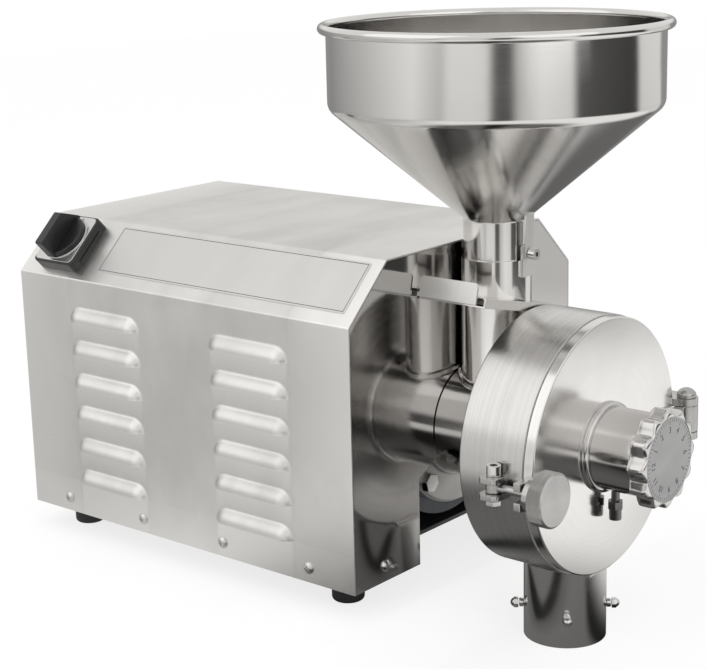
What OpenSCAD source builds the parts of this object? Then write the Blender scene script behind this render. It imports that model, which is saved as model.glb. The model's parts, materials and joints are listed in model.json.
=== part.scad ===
// Disc mill with a direct-drive motor in a sheet casing and a hinged grinding head.
// Origin: centre of the outlet tube's lower end. +X along the shaft to the knob, +Z up.

/* [Casing] */
// Length from the rear panel to the front panel
casing_l = 340; // [325:1:400]
// Width across the side walls
casing_w = 270; // [250:1:320]
// Height from the lower edge to the top
casing_h = 233; // [226:1:270]
// Width of the sloped shoulder, seen from above
shoulder_w = 42.4; // [36:0.2:50]
// Drop of the sloped shoulder
shoulder_h = 40; // [34:1:46]
// Sheet thickness of the wrap and panels
sheet_t = 1.2; // [0.8:0.1:2]
// Gap between the wrap and the end panels
panel_gap = 0.3; // [0.2:0.05:0.6]
// Depth of the folded edges of the end panels
panel_fold = 14; // [8:1:20]
// Radius of the round window for the barrel
window_r = 43; // [43:0.5:50]
// Width of the service notch in the front panel
notch_w = 121; // [100:1:130]
// Height of the notch's straight sides
notch_h = 66; // [55:1:72]
// Height of the notch's sloped corners
notch_slope = 11; // [5:1:16]
// Distance from the front panel to the outlet's axis
head_reach = 86; // [84:1:100]

/* [Louvres] */
// Louvres in one column
louvre_rows = 6; // [3:1:6]
// Length of a louvre
louvre_l = 74; // [50:1:90]
// Rounding radius of a louvre's bulge
louvre_r = 12; // [9:0.5:13]
// How far a louvre stands out
louvre_proud = 6; // [3:0.5:8]
// Height of the lowest lip above the casing's lower edge
louvre_first = 28; // [24:1:30]
// Distance from the highest lip up to the shoulder's fold
louvre_last = 33; // [28:0.5:40]
// Distance between the two columns
louvre_spread = 150; // [110:1:180]

/* [Base and feet] */
// Thickness of the base plate
base_t = 3; // [2:0.5:5]
// Height of the base plate above the casing's lower edge
base_lift = 4; // [3:0.5:8]
// Height of the base plate's upturned edges
base_edge_h = 14; // [12:1:20]
// Thickness of the upturned edges
base_edge_t = 2; // [1.5:0.5:3]
// Diameter of a rubber foot
foot_d = 24; // [18:1:32]
// How far a foot stands below the casing
foot_drop = 19; // [10:1:30]
// Foot axis from the end panels
foot_in_x = 31; // [22:1:50]
// Foot axis from the side walls
foot_in_y = 29; // [22:1:50]
// Diameter of the casing screws
screw_d = 4; // [3:0.5:5]
// Height of the side screws above the casing's lower edge
screw_h = 11; // [9.5:0.5:13]
// Distance between the side screws
screw_pitch = 85.2; // [60:0.1:90]
// First side screw from the front panel
screw_first = 42.8; // [20:0.1:50]
// End-panel screws from the middle
end_screw_y = 101; // [80:1:115]

/* [Motor] */
// Height of the shaft above the base plate
motor_h = 90; // [90:1:95]
// Radius of the motor frame under its fins
motor_r = 78; // [74:1:80]
// Height of the cooling fins
fin_h = 7; // [4:0.5:8]
// Wall of the motor frame
motor_wall = 7; // [5:0.5:9]
// Length of the finned frame
motor_l = 180; // [160:1:190]
// Length of the terminal box
terminal_l = 80; // [60:1:90]
// Width of the terminal box
terminal_w = 76; // [60:1:90]
// Room between the terminal box and the casing's top
terminal_gap = 20.8; // [5:0.1:24]
// Length of the front bell
bell_l = 24; // [22:1:30]
// Length of the fan cowl
cowl_l = 56; // [48:1:70]
// Diameter of the shaft at its drive end
shaft_d = 24; // [22:1:25]
// Diameter of the shaft in its bearings
journal_d = 25; // [25:1:30]
// Outer diameter of the bearings
bearing_d = 52; // [47:1:62]
// Width of the bearings
bearing_w = 15; // [12:1:17]
// Radius of the rotor core
core_r = 40; // [32:1:44]
// Length of the rotor core
core_l = 120; // [80:1:120]
// Air gap between rotor and stator
air_gap = 0.5; // [0.3:0.1:1]
// Running clearance of journals and pins, on the radius
run_gap = 0.05; // [0.02:0.01:0.1]

/* [Barrel and feed tube] */
// Outer diameter of the barrel
barrel_d = 84; // [78:1:86]
// Wall of the barrel
barrel_wall = 4; // [3:0.5:6]
// Diameter of the barrel's motor flange
flange_d = 131; // [128:1:140]
// Thickness of the flange
flange_t = 10; // [8:0.5:14]
// Distance of the flange behind the front panel
flange_back = 8; // [4:0.5:14]
// Bolt circle of the flange
flange_pcd = 115; // [112:1:118]
// Diameter of the motor's centring spigot
register_d = 95; // [90:1:98]
// Height of the centring spigot
register_h = 3; // [2:0.5:4]
// Outer diameter of the shaft seal
seal_d = 40; // [36:1:44]
// Outer diameter of the feed tube
feed_d = 50.8; // [46:0.1:54]
// Wall of the feed tube
feed_wall = 1.5; // [1:0.1:2.5]
// Axis of the feed tube from the front panel
feed_reach = 26; // [26:0.1:34]
// Height of the feed tube's top above the shaft
feed_top = 126; // [122:1:150]

/* [Feed gate] */
// Height of the gate channel's mouth above the shaft
gate_h = 103.5; // [98:0.5:106]
// Fall of the gate from its lip to its far end, in degrees
gate_tilt = 13.3; // [0:0.1:15]
// Thickness of the gate plate
gate_t = 3; // [2:0.5:3.5]
// Height inside the gate channel
channel_h = 4.4; // [4.3:0.1:6]
// Width of the channel's rail on the drum's side
rail_w = 7.6; // [4:0.1:8]
// Width of the channel's rail beside the casing
back_rail_w = 1.2; // [0.8:0.1:1.4]
// Thickness of the channel's sheet
channel_wall = 1.2; // [1:0.1:1.6]
// Reach of the gate channel from the feed axis
channel_reach = 58; // [54:0.5:70]
// Length of the channel behind the feed tube
channel_rest = 3; // [2:0.5:6]
// Depth of the gap beside the gate at the channel's mouth
pocket_l = 12; // [6:0.5:16]
// Width of the gate's lip
lip_w = 49; // [40:0.5:51]
// Height of the gate's lip
lip_h = 15; // [10:0.5:20]
// Thickness of the gate's lip
lip_t = 1.6; // [1.5:0.1:3]
// Distance of the lip before the channel
lip_out = 3.4; // [1:0.1:6]
// Reach of the lip past the feed axis towards the drum
lip_side = 27; // [24:0.5:28]
// Height of the spout's ledge above the gate
ledge_rise = 7.5; // [6:0.5:9]
// Clearance round the gate plate
gate_gap = 0.4; // [0.2:0.1:0.8]

/* [Grinding head] */
// Outer diameter of the drum
drum_d = 186; // [180:1:200]
// Length of the drum
drum_l = 52; // [48:1:60]
// Wall of the drum
drum_wall = 4; // [3.5:0.5:6]
// Thickness of the drum's back
drum_back = 3; // [2:0.5:5]
// Radius of the discharge hole in the drum's wall
drop_r = 21; // [16:0.5:21.5]
// Radius of the grinding discs
disc_r = 75; // [70:1:76]
// Thickness of the turning disc
turn_disc_t = 12; // [10:0.5:13]
// Thickness of the still disc
still_disc_t = 10; // [8:0.5:10]
// Gap between the disc faces
grind_gap = 1.3; // [1.2:0.1:1.6]
// Depth of the grooves in the disc faces
groove_h = 2; // [1:0.5:3]
// Grooves in each disc face
groove_count = 18; // [8:1:24]
// Radius of the auger's flight
auger_r = 36; // [30:0.5:37]
// Radius of the auger's hub
auger_hub_r = 17; // [16:0.5:20]
// Turns of the auger's flight
auger_turns = 1.25; // [1:0.25:2]

/* [Outlet] */
// Outer diameter of the outlet tube
outlet_d = 60; // [56:0.5:64]
// Wall of the outlet tube
outlet_wall = 1.5; // [1:0.1:2.5]
// Height of the outlet tube's thicker upper end, where it meets the drum
outlet_plain_l = 50; // [40:0.5:52]
// Step of the thicker upper end, inwards
outlet_step = 1; // [0.5:0.1:2]
// Distance from the shaft to the outlet's lower end
outlet_drop = 148.6; // [130:0.1:170]
// Height of the sock screws above the outlet's lower end
sock_screw_h = 23; // [18:0.5:30]
// Turn of the four screws from the shaft's line, in degrees
sock_screw_turn = 36; // [20:1:60]

/* [Cover] */
// Diameter of the cover
cover_d = 184; // [178:1:185]
// Thickness of the cover
cover_t = 7.5; // [6:0.5:10]
// Gap between drum and cover
cover_gap = 0.5; // [0.4:0.1:0.8]
// Radial gap of the cover's centring step
step_gap = 0.5; // [0.4:0.1:1]
// Height of the centring step
step_h = 3; // [2:0.5:3]
// Diameter of the neck
neck_d = 59; // [55:0.5:62]
// Length of the neck
neck_l = 35.6; // [34:0.1:42]
// Diameter of the sliding stem
stem_d = 44; // [40:1:46]
// Diameter of the adjusting spindle
spindle_d = 16; // [12:0.5:18]
// Radius of the disc carrier's plate
carrier_r = 62; // [50:1:68]
// Thickness of the disc carrier's plate
carrier_t = 8; // [6:0.5:8]

/* [Hinge] */
// Hinge pin in front of the outlet's axis
hinge_x = 38; // [38:0.5:40]
// Hinge pin from the shaft, sideways
hinge_y = 104; // [104:0.5:108]
// Level of the knuckle's middle below the shaft
hinge_drop = 3.5; // [0:0.5:8]
// Height of the knuckle
knuckle_h = 20; // [14:0.5:26]
// Radius of the knuckle
knuckle_r = 8.7; // [7:0.1:9]
// Thickness of the hinge ears
hinge_ear_t = 5.4; // [4:0.2:7]
// Diameter of the hinge pin
hinge_pin_d = 8; // [6:0.5:10]
// Gap above and below the knuckle
knuckle_gap = 0.3; // [0.2:0.05:0.5]

/* [Clamp] */
// Clamp pin in front of the outlet's axis
clamp_x = 7.5; // [5:0.5:10]
// Clamp pin from the shaft, sideways
clamp_y = 99; // [98.5:0.5:102]
// Level of the clamp below the shaft
clamp_drop = 7; // [4:0.5:12]
// Thickness of the clamp ears
clamp_ear_t = 4.2; // [3:0.1:6]
// Width of the clamp ears
clamp_ear_w = 15; // [13:0.5:18]
// Thickness of the bolt's eye
eye_t = 6.9; // [6.2:0.1:8]
// Radius of the bolt's eye
eye_r = 5.6; // [5:0.1:7]
// Diameter of the swing bolt and its pin
bolt_d = 6; // [5:0.5:6]
// Radius of the knurled nut
nut_r = 18.9; // [15:0.1:21]
// Thickness of the knurled nut
nut_t = 12; // [8:0.5:14]
// Radius of the nut's collar
collar_r = 12; // [11:0.5:13]
// Length of the nut's collar
collar_l = 7.7; // [5:0.1:12]
// Thickness of the fork bars along the shaft
fork_x = 7; // [5:0.5:9]
// Height of each fork bar
fork_h = 5.9; // [4:0.1:8]
// Gap between the fork bars
fork_slot = 8; // [7.4:0.1:9]
// Outer end of the fork from the shaft
fork_out = 109; // [107:0.5:112]
// Inner end of the fork from the shaft
fork_in = 76; // [70:0.5:84]

/* [Knob] */
// Thickness of the knob
knob_t = 14; // [10:0.5:20]
// Radius over the knob's lobes
knob_r = 35.5; // [32:0.5:42]
// Radius of one lobe
lobe_r = 5; // [3.5:0.5:6]
// Number of lobes
lobe_count = 12; // [8:1:16]
// Radius of the dial
dial_r = 29.5; // [24:0.5:29.5]
// Thickness of the dial
dial_t = 0.8; // [0.5:0.1:1.5]
// Distance of the lock bolt from the cover's face
lock_reach = 7.6; // [7:0.1:14]
// Length of the lock bolt below the neck
lock_drop = 22.5; // [20:0.5:30]

/* [Hopper] */
// Outer radius of the bowl
bowl_r = 118; // [100:1:140]
// Height of the bowl's straight wall
bowl_h = 55.5; // [40:0.5:80]
// Height of the cone
cone_h = 80; // [60:1:100]
// Height of the cone's foot above the shaft
cone_foot = 154; // [150:1:170]
// Wall of the hopper
hopper_wall = 1; // [0.8:0.1:1.6]
// Radius of the rolled rim's bead
bead_r = 3.5; // [2.5:0.1:4.5]
// Rounding between cone and wall
bowl_round = 10; // [4:1:16]
// Gap between spout and feed tube
spout_gap = 0.4; // [0.3:0.05:0.8]
// Width of the locking strap
strap_w = 10; // [9:0.5:16]

/* [Switch] */
// Width of the switch body along the casing
switch_w = 44; // [36:1:50]
// Height of the switch body along the slope
switch_h = 46; // [36:1:48]
// How far the switch body stands out
switch_t = 10; // [6:0.5:14]
// Middle of the switch from the rear panel
switch_in = 40.7; // [34:0.1:60]
// Diameter of the handle's round base
dial_base_d = 37; // [30:1:40]
// Length of the handle's bar
handle_l = 40; // [32:1:42]
// Width of the handle's bar
handle_w = 8; // [6:0.5:12]
// Height of the handle's bar
handle_h = 19; // [12:0.5:24]

/* [Hidden] */
$fn = 96;

shaft_over_casing = base_lift + base_t + motor_h;
shaft_z = outlet_drop;
casing_z = shaft_z - shaft_over_casing;
front_x = -head_reach;
rear_x = front_x - casing_l;
half_w = casing_w / 2;
louvre_pitch = (casing_h - shoulder_h - louvre_first - louvre_last) / (louvre_rows - 1);
slope_l = sqrt(shoulder_w * shoulder_w + shoulder_h * shoulder_h);
slope_angle = atan2(shoulder_h, shoulder_w);
flange_x = front_x - flange_back;
motor_x = flange_x - flange_t;
frame_x = motor_x - bell_l;
frame_end_x = frame_x - motor_l;
rear_bell_l = 18;
cowl_x = frame_end_x - rear_bell_l;
cowl_r = motor_r + fin_h;
fan_l = 22;
fan_x = cowl_x - fan_l - 8;
core_x = frame_x - (motor_l + core_l) / 2;
stator_r = motor_r - motor_wall;
winding_l = 18;
feed_x = front_x + feed_reach;
feed_inner = feed_d / 2 - feed_wall;
barrel_r = barrel_d / 2;
barrel_bore = barrel_r - barrel_wall;
drum_r = drum_d / 2;
drum_bore = drum_r - drum_wall;
drum_x = -drum_l / 2;
drum_front = drum_l / 2;
disc_face_x = 0;
turn_disc_x = disc_face_x - turn_disc_t;
still_disc_x = disc_face_x + grind_gap;
carrier_x = still_disc_x + still_disc_t;
cover_x = drum_front + cover_gap;
cover_face_x = cover_x + cover_t;
neck_end_x = cover_face_x + neck_l;
knob_gap = 0.4;
knob_x = neck_end_x + knob_gap;
knob_end_x = knob_x + knob_t;
bush_l = 6;
stem_end_x = neck_end_x - 13.6;
spindle_collar_r = 11;
spindle_collar_l = 3.2;
key_w = 8;
key_out = 3;
key_in = 4;
key_gap = 0.1;
shaft_end_x = disc_face_x - 2;
disc_bolt_r = 4;
washer_t = 2;
disc_hex = 13;
clamp_z = shaft_z - clamp_drop;
clamp_ear_in = (eye_t + 0.6) / 2;
fork_face_x = cover_x + 10.5;
nut_x = fork_face_x + 0.3;
nut_face_x = nut_x + collar_l + nut_t;
hinge_z = shaft_z - hinge_drop;
knuckle_arm_t = 6;
lock_x = cover_face_x + lock_reach;
lock_tip = stem_d / 2 - 1.2;
ledge_t = 1.6;
ledge_r = feed_inner - 2.2;
ledge_h = gate_h + ledge_rise;
spout_r = feed_inner - spout_gap;
spout_foot = ledge_h + ledge_t + 0.3;
bowl_foot = cone_foot + cone_h;
bowl_top = bowl_foot + bowl_h;
bead_out = bowl_r + bead_r / 2 + 0.5;
gate_half = feed_inner - gate_gap;
gate_travel = 2 * gate_half + 3;
slot_half = gate_half + gate_gap / 2;
gate_centre = channel_reach * (1 / cos(gate_tilt) - 1) - channel_h / 2 * tan(gate_tilt);
lug_t = 2.1;
lug_x = feed_x + feed_d / 2;
lug_w = 12;
strap_t = 1.5;
strap_x = lug_x + lug_t + 0.3;
strap_foot = feed_top + 1;
hopper_screw_h = feed_top + 4.7;
hopper_screw_r = 2;
foot_r = foot_d / 2;
foot_top = casing_z + base_lift;
foot_xs = [rear_x + foot_in_x, front_x - foot_in_x];
foot_ys = [-half_w + foot_in_y, half_w - foot_in_y];
foot_screw_r = 2.5;
motor_foot_y = 70;
motor_foot_xs = [motor_x - 56, motor_x - 181];
m8_r = 4;
m8_hex = 13;
switch_x = rear_x + switch_in;
gland_z = 45;
gland_y = 70;

// Shapes that repeat

// Round bar along the shaft axis
module bar_x(x0, x1, r) {
    translate([x0, 0, shaft_z]) rotate([0, 90, 0]) cylinder(r = r, h = x1 - x0);
}

// Ring along the shaft axis
module ring_x(x0, x1, outer, inner) {
    difference() {
        bar_x(x0, x1, outer);
        bar_x(x0 - 1, x1 + 1, inner);
    }
}

// Upright ring between two heights
module ring_z(x, y, z0, z1, outer, inner) {
    translate([x, y, z0]) difference() {
        cylinder(r = outer, h = z1 - z0);
        translate([0, 0, -1]) cylinder(r = inner, h = z1 - z0 + 2);
    }
}

// Hexagonal prism standing on z = 0
module hex(across, h) {
    cylinder(r = across / sqrt(3), h = h, $fn = 6);
}

// Flat plate outline with round corners, centred
module round_rect(w, l, r) {
    square([w - 2 * r, l], center = true);
    square([w, l - 2 * r], center = true);
    for (x = [-w / 2 + r, w / 2 - r], y = [-l / 2 + r, l / 2 - r]) translate([x, y]) circle(r = r);
}

// Casing outline seen along the shaft, moved inwards by an inset
function casing_points(inset, foot) = [
    [-half_w + inset, foot],
    [half_w - inset, foot],
    [half_w - inset, casing_h - shoulder_h - inset * (slope_l - shoulder_h) / shoulder_w],
    [half_w - shoulder_w - inset * (slope_l - shoulder_w) / shoulder_h, casing_h - inset],
    [-half_w + shoulder_w + inset * (slope_l - shoulder_w) / shoulder_h, casing_h - inset],
    [-half_w + inset, casing_h - shoulder_h - inset * (slope_l - shoulder_h) / shoulder_w]
];

// Prism with the casing outline between two stations
module casing_prism(x0, x1, inset, foot) {
    translate([x0, 0, casing_z]) rotate([90, 0, 90])
        linear_extrude(x1 - x0) polygon(casing_points(inset, foot));
}

// Pan-head screw along +Z, head above z = 0, with a cross recess
module pan_screw(r, l, head_r, head_h) {
    difference() {
        union() {
            intersection() {
                translate([0, 0, head_h - head_r * 1.4]) sphere(r = head_r * 1.4);
                cylinder(r = head_r, h = head_h);
            }
            translate([0, 0, -l]) cylinder(r = r, h = l);
        }
        for (a = [0, 90]) rotate(a) translate([-head_r * 0.5, -0.4, head_h * 0.5])
            cube([head_r, 0.8, head_h]);
    }
}

// Outside of one louvre, pointing along -Y, lip at z = 0
module scoop(r) {
    depth = louvre_r - louvre_proud;
    half = louvre_l / 2 - sqrt(louvre_r * louvre_r - depth * depth);
    intersection() {
        translate([0, depth, 0]) union() {
            translate([-half, 0, 0]) rotate([0, 90, 0]) cylinder(r = r, h = 2 * half);
            for (x = [-half, half]) translate([x, 0, 0]) sphere(r = r);
        }
        translate([-louvre_l, -louvre_r, 0]) cube([2 * louvre_l, louvre_r + sheet_t, louvre_r]);
    }
}

// Every louvre of one side wall
module scoops(r) {
    for (x = [-louvre_spread / 2, louvre_spread / 2], row = [0 : louvre_rows - 1])
        translate([(front_x + rear_x) / 2 + x, -half_w, casing_z + louvre_first + row * louvre_pitch])
            scoop(r);
}

// Places its children on the sloped shoulder: X along the casing, Y up the slope, Z outwards
module on_slope(x, along) {
    translate([x, -half_w, casing_z + casing_h - shoulder_h]) rotate([slope_angle, 0, 0])
        translate([0, along, 0]) children();
}

// Casing

// Folded sheet over the sides, shoulders and top, with louvres
module casing_wrap() {
    color("silver") difference() {
        union() {
            difference() {
                casing_prism(rear_x, front_x, 0, 0);
                casing_prism(rear_x - 1, front_x + 1, sheet_t, -1);
            }
            scoops(louvre_r);
            mirror([0, 1, 0]) scoops(louvre_r);
        }
        scoops(louvre_r - sheet_t);
        mirror([0, 1, 0]) scoops(louvre_r - sheet_t);
        side_screw_places() translate([0, 0, -5]) cylinder(r = screw_d / 2 + 0.1, h = 10);
        on_slope(switch_x, slope_l / 2) cube([30, 30, 10], center = true);
    }
}

// Children at each side screw, Z pointing out of the side wall
module side_screw_places() {
    for (side = [-1, 1], k = [0 : 3])
        translate([front_x - screw_first - k * screw_pitch, side * half_w, casing_z + screw_h])
            rotate([side * -90, 0, 0]) children();
}

// Children at each end-panel screw, Z pointing out of the panel
module end_screw_places() {
    for (y = [-end_screw_y, end_screw_y]) {
        translate([front_x, y, casing_z + screw_h + 1]) rotate([0, 90, 0]) children();
        translate([rear_x, y, casing_z + screw_h + 1]) rotate([0, -90, 0]) children();
    }
}

// Panel with folded edges; x is its outer face and dir points inwards
module end_panel(x, dir) {
    inset = sheet_t + panel_gap;
    face_in = x + dir * sheet_t;
    fold_in = x + dir * panel_fold;
    fold_foot = base_lift + base_edge_h + 3;
    casing_prism(min(x, face_in), max(x, face_in), inset, 0);
    difference() {
        casing_prism(min(x, fold_in), max(x, fold_in), inset, fold_foot);
        casing_prism(min(x, fold_in) - 1, max(x, fold_in) + 1, inset + sheet_t, fold_foot - 1);
    }
}

// Bright front panel with the barrel window and the service notch
module front_panel() {
    half_notch = notch_w / 2;
    color("gainsboro") difference() {
        end_panel(front_x, -1);
        bar_x(front_x - 5, front_x + 1, window_r);
        translate([front_x - 5, 0, casing_z]) rotate([90, 0, 90]) linear_extrude(6)
            polygon([[-half_notch, -1], [half_notch, -1], [half_notch, notch_h],
                [half_notch - 2 * notch_slope, notch_h + notch_slope],
                [2 * notch_slope - half_notch, notch_h + notch_slope], [-half_notch, notch_h]]);
        end_screw_places() translate([0, 0, -5]) cylinder(r = screw_d / 2 + 0.1, h = 10);
    }
}

// Rear panel with air slots and the cable hole
module rear_panel() {
    color("silver") difference() {
        end_panel(rear_x, 1);
        for (row = [0 : 6], y = [-52, 0, 52])
            translate([rear_x, y, shaft_z - 36 + row * 12])
                rotate([90, 0, 90]) linear_extrude(20, center = true) round_rect(44, 5, 2.4);
        translate([rear_x, gland_y, casing_z + gland_z]) rotate([0, 90, 0])
            cylinder(r = 8.2, h = 20, center = true);
        end_screw_places() translate([0, 0, -5]) cylinder(r = screw_d / 2 + 0.1, h = 10);
    }
}

// Base plate with upturned edges, open at the front notch
module base_plate() {
    back = rear_x + sheet_t + panel_gap;
    front = front_x - sheet_t - panel_gap;
    side = half_w - sheet_t - panel_gap;
    notch_side = notch_w / 2 + 1.4;
    color([0.08, 0.08, 0.09]) difference() {
        translate([back, -side, casing_z + base_lift]) cube([front - back, 2 * side, base_edge_h]);
        translate([back + base_edge_t, -side + base_edge_t, casing_z + base_lift + base_t])
            cube([front - back - 2 * base_edge_t, 2 * (side - base_edge_t), base_edge_h]);
        translate([front_x - 30, -notch_side, casing_z]) cube([40, 2 * notch_side, 40]);
        side_screw_places() translate([0, 0, -12]) cylinder(r = screw_d / 2, h = 14);
        end_screw_places() translate([0, 0, -12]) cylinder(r = screw_d / 2, h = 14);
        for (x = foot_xs, y = foot_ys) translate([x, y, casing_z])
            cylinder(r = foot_screw_r, h = 20);
        for (x = motor_foot_xs, y = [-motor_foot_y, motor_foot_y]) translate([x, y, casing_z])
            cylinder(r = m8_r, h = 20);
    }
}

// Four rubber feet with recessed screws
module rubber_feet() {
    bottom = casing_z - foot_drop;
    round_r = 3;
    color([0.06, 0.06, 0.06]) for (x = foot_xs, y = foot_ys) translate([x, y, bottom])
        difference() {
            union() {
                translate([0, 0, round_r]) cylinder(r = foot_r, h = foot_top - bottom - round_r);
                cylinder(r = foot_r - round_r, h = round_r + 1);
                translate([0, 0, round_r]) rotate_extrude()
                    translate([foot_r - round_r, 0]) circle(r = round_r);
            }
            translate([0, 0, -1]) cylinder(r = 5.5, h = 9);
            cylinder(r = foot_screw_r, h = 60);
        }
}

// Screws and nuts of the feet
module foot_screws() {
    bottom = casing_z - foot_drop;
    color("silver") for (x = foot_xs, y = foot_ys) {
        translate([x, y, bottom + 8]) rotate([180, 0, 0])
            pan_screw(foot_screw_r, foot_top + base_t - bottom - 8 + 7, 4.6, 3);
        translate([x, y, foot_top + base_t]) difference() {
            hex(8, 4);
            translate([0, 0, -1]) cylinder(r = foot_screw_r, h = 6);
        }
    }
}

// Pan-head screws of the wrap and the end panels
module casing_screws() {
    color("silver") {
        side_screw_places() pan_screw(screw_d / 2, 8, 4.4, 2.6);
        end_screw_places() pan_screw(screw_d / 2, 8, 4.4, 2.6);
    }
}

// Plain thin plate on the sloped shoulder
module blank_plate() {
    plate_l = 248;
    plate_h = 0.74 * slope_l;
    color("gainsboro") on_slope(front_x - 10 - plate_l / 2, 0.55 * slope_l)
        linear_extrude(0.6) round_rect(plate_l, plate_h, 2);
}

// Switch

// Moulded body on the slope, with its contact block behind the sheet
module switch_body() {
    color([0.08, 0.08, 0.08]) on_slope(switch_x, slope_l / 2) difference() {
        union() {
            linear_extrude(switch_t) round_rect(switch_w, switch_h, 4);
            translate([-14.5, -14.5, -34]) cube([29, 29, 35]);
        }
        translate([0, 0, switch_t - 6]) cylinder(r = 4, h = 10);
    }
}

// Bright front plate of the switch
module switch_plate() {
    color("gainsboro") on_slope(switch_x, slope_l / 2) translate([0, 0, switch_t]) difference() {
        union() {
            linear_extrude(1) round_rect(switch_w - 3, switch_h - 3, 3.5);
            cylinder(r = dial_base_d / 2 + 1, h = 1.6);
        }
        translate([0, 0, -1]) cylinder(r = 4, h = 5);
    }
}

// Turning handle: round base, pointer bar and stub shaft
module switch_handle() {
    lift = switch_t + 1.9;
    color([0.07, 0.07, 0.07]) on_slope(switch_x, slope_l / 2) {
        translate([0, 0, lift]) cylinder(r = dial_base_d / 2, h = 4);
        translate([0, 0, switch_t - 5]) cylinder(r = 4 - run_gap, h = lift - switch_t + 6);
        translate([-handle_w / 2, 0, lift]) rotate([90, 0, 90]) linear_extrude(handle_w)
            polygon([[-handle_l / 2, 0.6], [handle_l / 2, 0.6], [handle_l / 2, 3],
                [handle_l / 4, handle_h], [-handle_l / 2, handle_h]]);
    }
}

// Cable gland with its lock nut, no cord
module cable_gland() {
    color([0.09, 0.09, 0.09]) translate([rear_x, gland_y, casing_z + gland_z]) rotate([0, -90, 0])
        difference() {
            union() {
                translate([0, 0, -12]) cylinder(r = 8, h = 13);
                translate([0, 0, -sheet_t - 5]) hex(22, 5);
                hex(22, 6);
                translate([0, 0, 6]) cylinder(r = 9.5, h = 8);
                translate([0, 0, 14]) cylinder(r = 7.5, h = 3);
            }
            translate([0, 0, -20]) cylinder(r = 4.5, h = 50);
        }
}

// Motor

// Finned frame with feet
module motor_frame() {
    color([0.25, 0.27, 0.3]) difference() {
        union() {
            bar_x(frame_end_x, frame_x, motor_r);
            for (a = [36 : 12 : 144], side = [0, 180]) translate([frame_end_x + 4, 0, shaft_z])
                rotate([a + side, 0, 0]) translate([0, -1, motor_r - 2])
                    cube([motor_l - 8, 2, fin_h + 2]);
            for (x = motor_foot_xs, side = [-1, 1]) {
                translate([x - 16, side * motor_foot_y - 18, shaft_z - motor_h]) cube([32, 36, 10]);
                translate([x - 5, side * (motor_foot_y - 14) - 5, shaft_z - motor_h])
                    cube([10, 10, motor_h - 30]);
            }
        }
        bar_x(frame_end_x - 1, frame_x + 1, stator_r);
        for (x = motor_foot_xs, y = [-motor_foot_y, motor_foot_y])
            translate([x, y, shaft_z - motor_h - 1]) cylinder(r = m8_r + 0.5, h = 20);
    }
}

// Front bell with bearing seat, spigot and tapped holes
module motor_front_bell() {
    color([0.25, 0.27, 0.3]) difference() {
        union() {
            bar_x(frame_x, motor_x, motor_r - 2);
            bar_x(motor_x - 0.01, motor_x + register_h, register_d / 2);
            bar_x(frame_x - 4, frame_x + 0.01, stator_r);
        }
        bar_x(frame_x - 5, motor_x - 8 - bearing_w, stator_r - 5);
        bar_x(motor_x - 9 - bearing_w, motor_x - 5, bearing_d / 2);
        bar_x(motor_x - 6, motor_x + register_h + 1, shaft_d / 2 + 2);
        flange_bolt_places() translate([0, 0, -flange_t - 14]) cylinder(r = m8_r, h = 16);
    }
}

// Rear bell with bearing seat
module motor_rear_bell() {
    back = frame_end_x - rear_bell_l;
    color([0.25, 0.27, 0.3]) difference() {
        union() {
            bar_x(back, frame_end_x, motor_r - 2);
            bar_x(frame_end_x - 0.01, frame_end_x + 4, stator_r);
            for (a = [45 : 90 : 315]) translate([back + 2, 0, shaft_z]) rotate([a, 0, 0])
                translate([0, -6, motor_r - 5]) cube([rear_bell_l - 4, 12, cowl_r - 1.8 - motor_r + 5]);
        }
        bar_x(back + bearing_w + 1.5, frame_end_x + 5, stator_r - 5);
        bar_x(back + 1.5, back + bearing_w + 2, bearing_d / 2);
        bar_x(back - 1, back + 2, shaft_d / 2 + 1);
    }
}

// Laminated stator ring
module stator() {
    color([0.35, 0.36, 0.38]) ring_x(core_x, core_x + core_l, stator_r, core_r + air_gap);
}

// End turns of the windings
module windings() {
    color([0.6, 0.3, 0.12]) {
        ring_x(core_x - winding_l, core_x, stator_r - 4, core_r + 6);
        ring_x(core_x + core_l, core_x + core_l + winding_l, stator_r - 4, core_r + 6);
    }
}

// Fan cowl with an intake grille
module fan_cowl() {
    color([0.2, 0.22, 0.24]) difference() {
        bar_x(cowl_x - cowl_l + rear_bell_l, frame_end_x, cowl_r);
        bar_x(cowl_x - cowl_l + rear_bell_l + 1.5, frame_end_x + 1, cowl_r - 1.5);
        for (r = [18 : 12 : 66], a = [0 : 360 / floor(r / 3) : 359])
            translate([cowl_x - cowl_l, 0, shaft_z]) rotate([a, 0, 0]) translate([0, 0, r])
                rotate([0, 90, 0]) cylinder(r = 4, h = 40);
    }
}

// Terminal box on top of the frame, clear of the casing's top
module terminal_box() {
    wall = 3;
    box_x = frame_x - 50 - terminal_l;
    box_top = casing_z + casing_h - sheet_t - terminal_gap;
    floor_z = shaft_z + motor_r - 16;
    color([0.2, 0.22, 0.24]) difference() {
        translate([box_x, -terminal_w / 2, floor_z]) cube([terminal_l, terminal_w, box_top - floor_z]);
        bar_x(frame_end_x, frame_x, motor_r);
        translate([box_x + wall, -terminal_w / 2 + wall, shaft_z + motor_r + wall])
            cube([terminal_l - 2 * wall, terminal_w - 2 * wall, box_top - shaft_z - motor_r - 2 * wall]);
    }
}

// Bolts and nuts that hold the motor feet on the base plate
module motor_bolts() {
    color("gray") for (x = motor_foot_xs, y = [-motor_foot_y, motor_foot_y])
        translate([x, y, shaft_z - motor_h]) {
            translate([0, 0, 10]) hex(m8_hex, 5.3);
            translate([0, 0, -base_t - 9]) cylinder(r = m8_r, h = base_t + 19);
            translate([0, 0, -base_t - 6.5]) difference() {
                hex(m8_hex, 6.5);
                translate([0, 0, -1]) cylinder(r = m8_r, h = 9);
            }
        }
}

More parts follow.
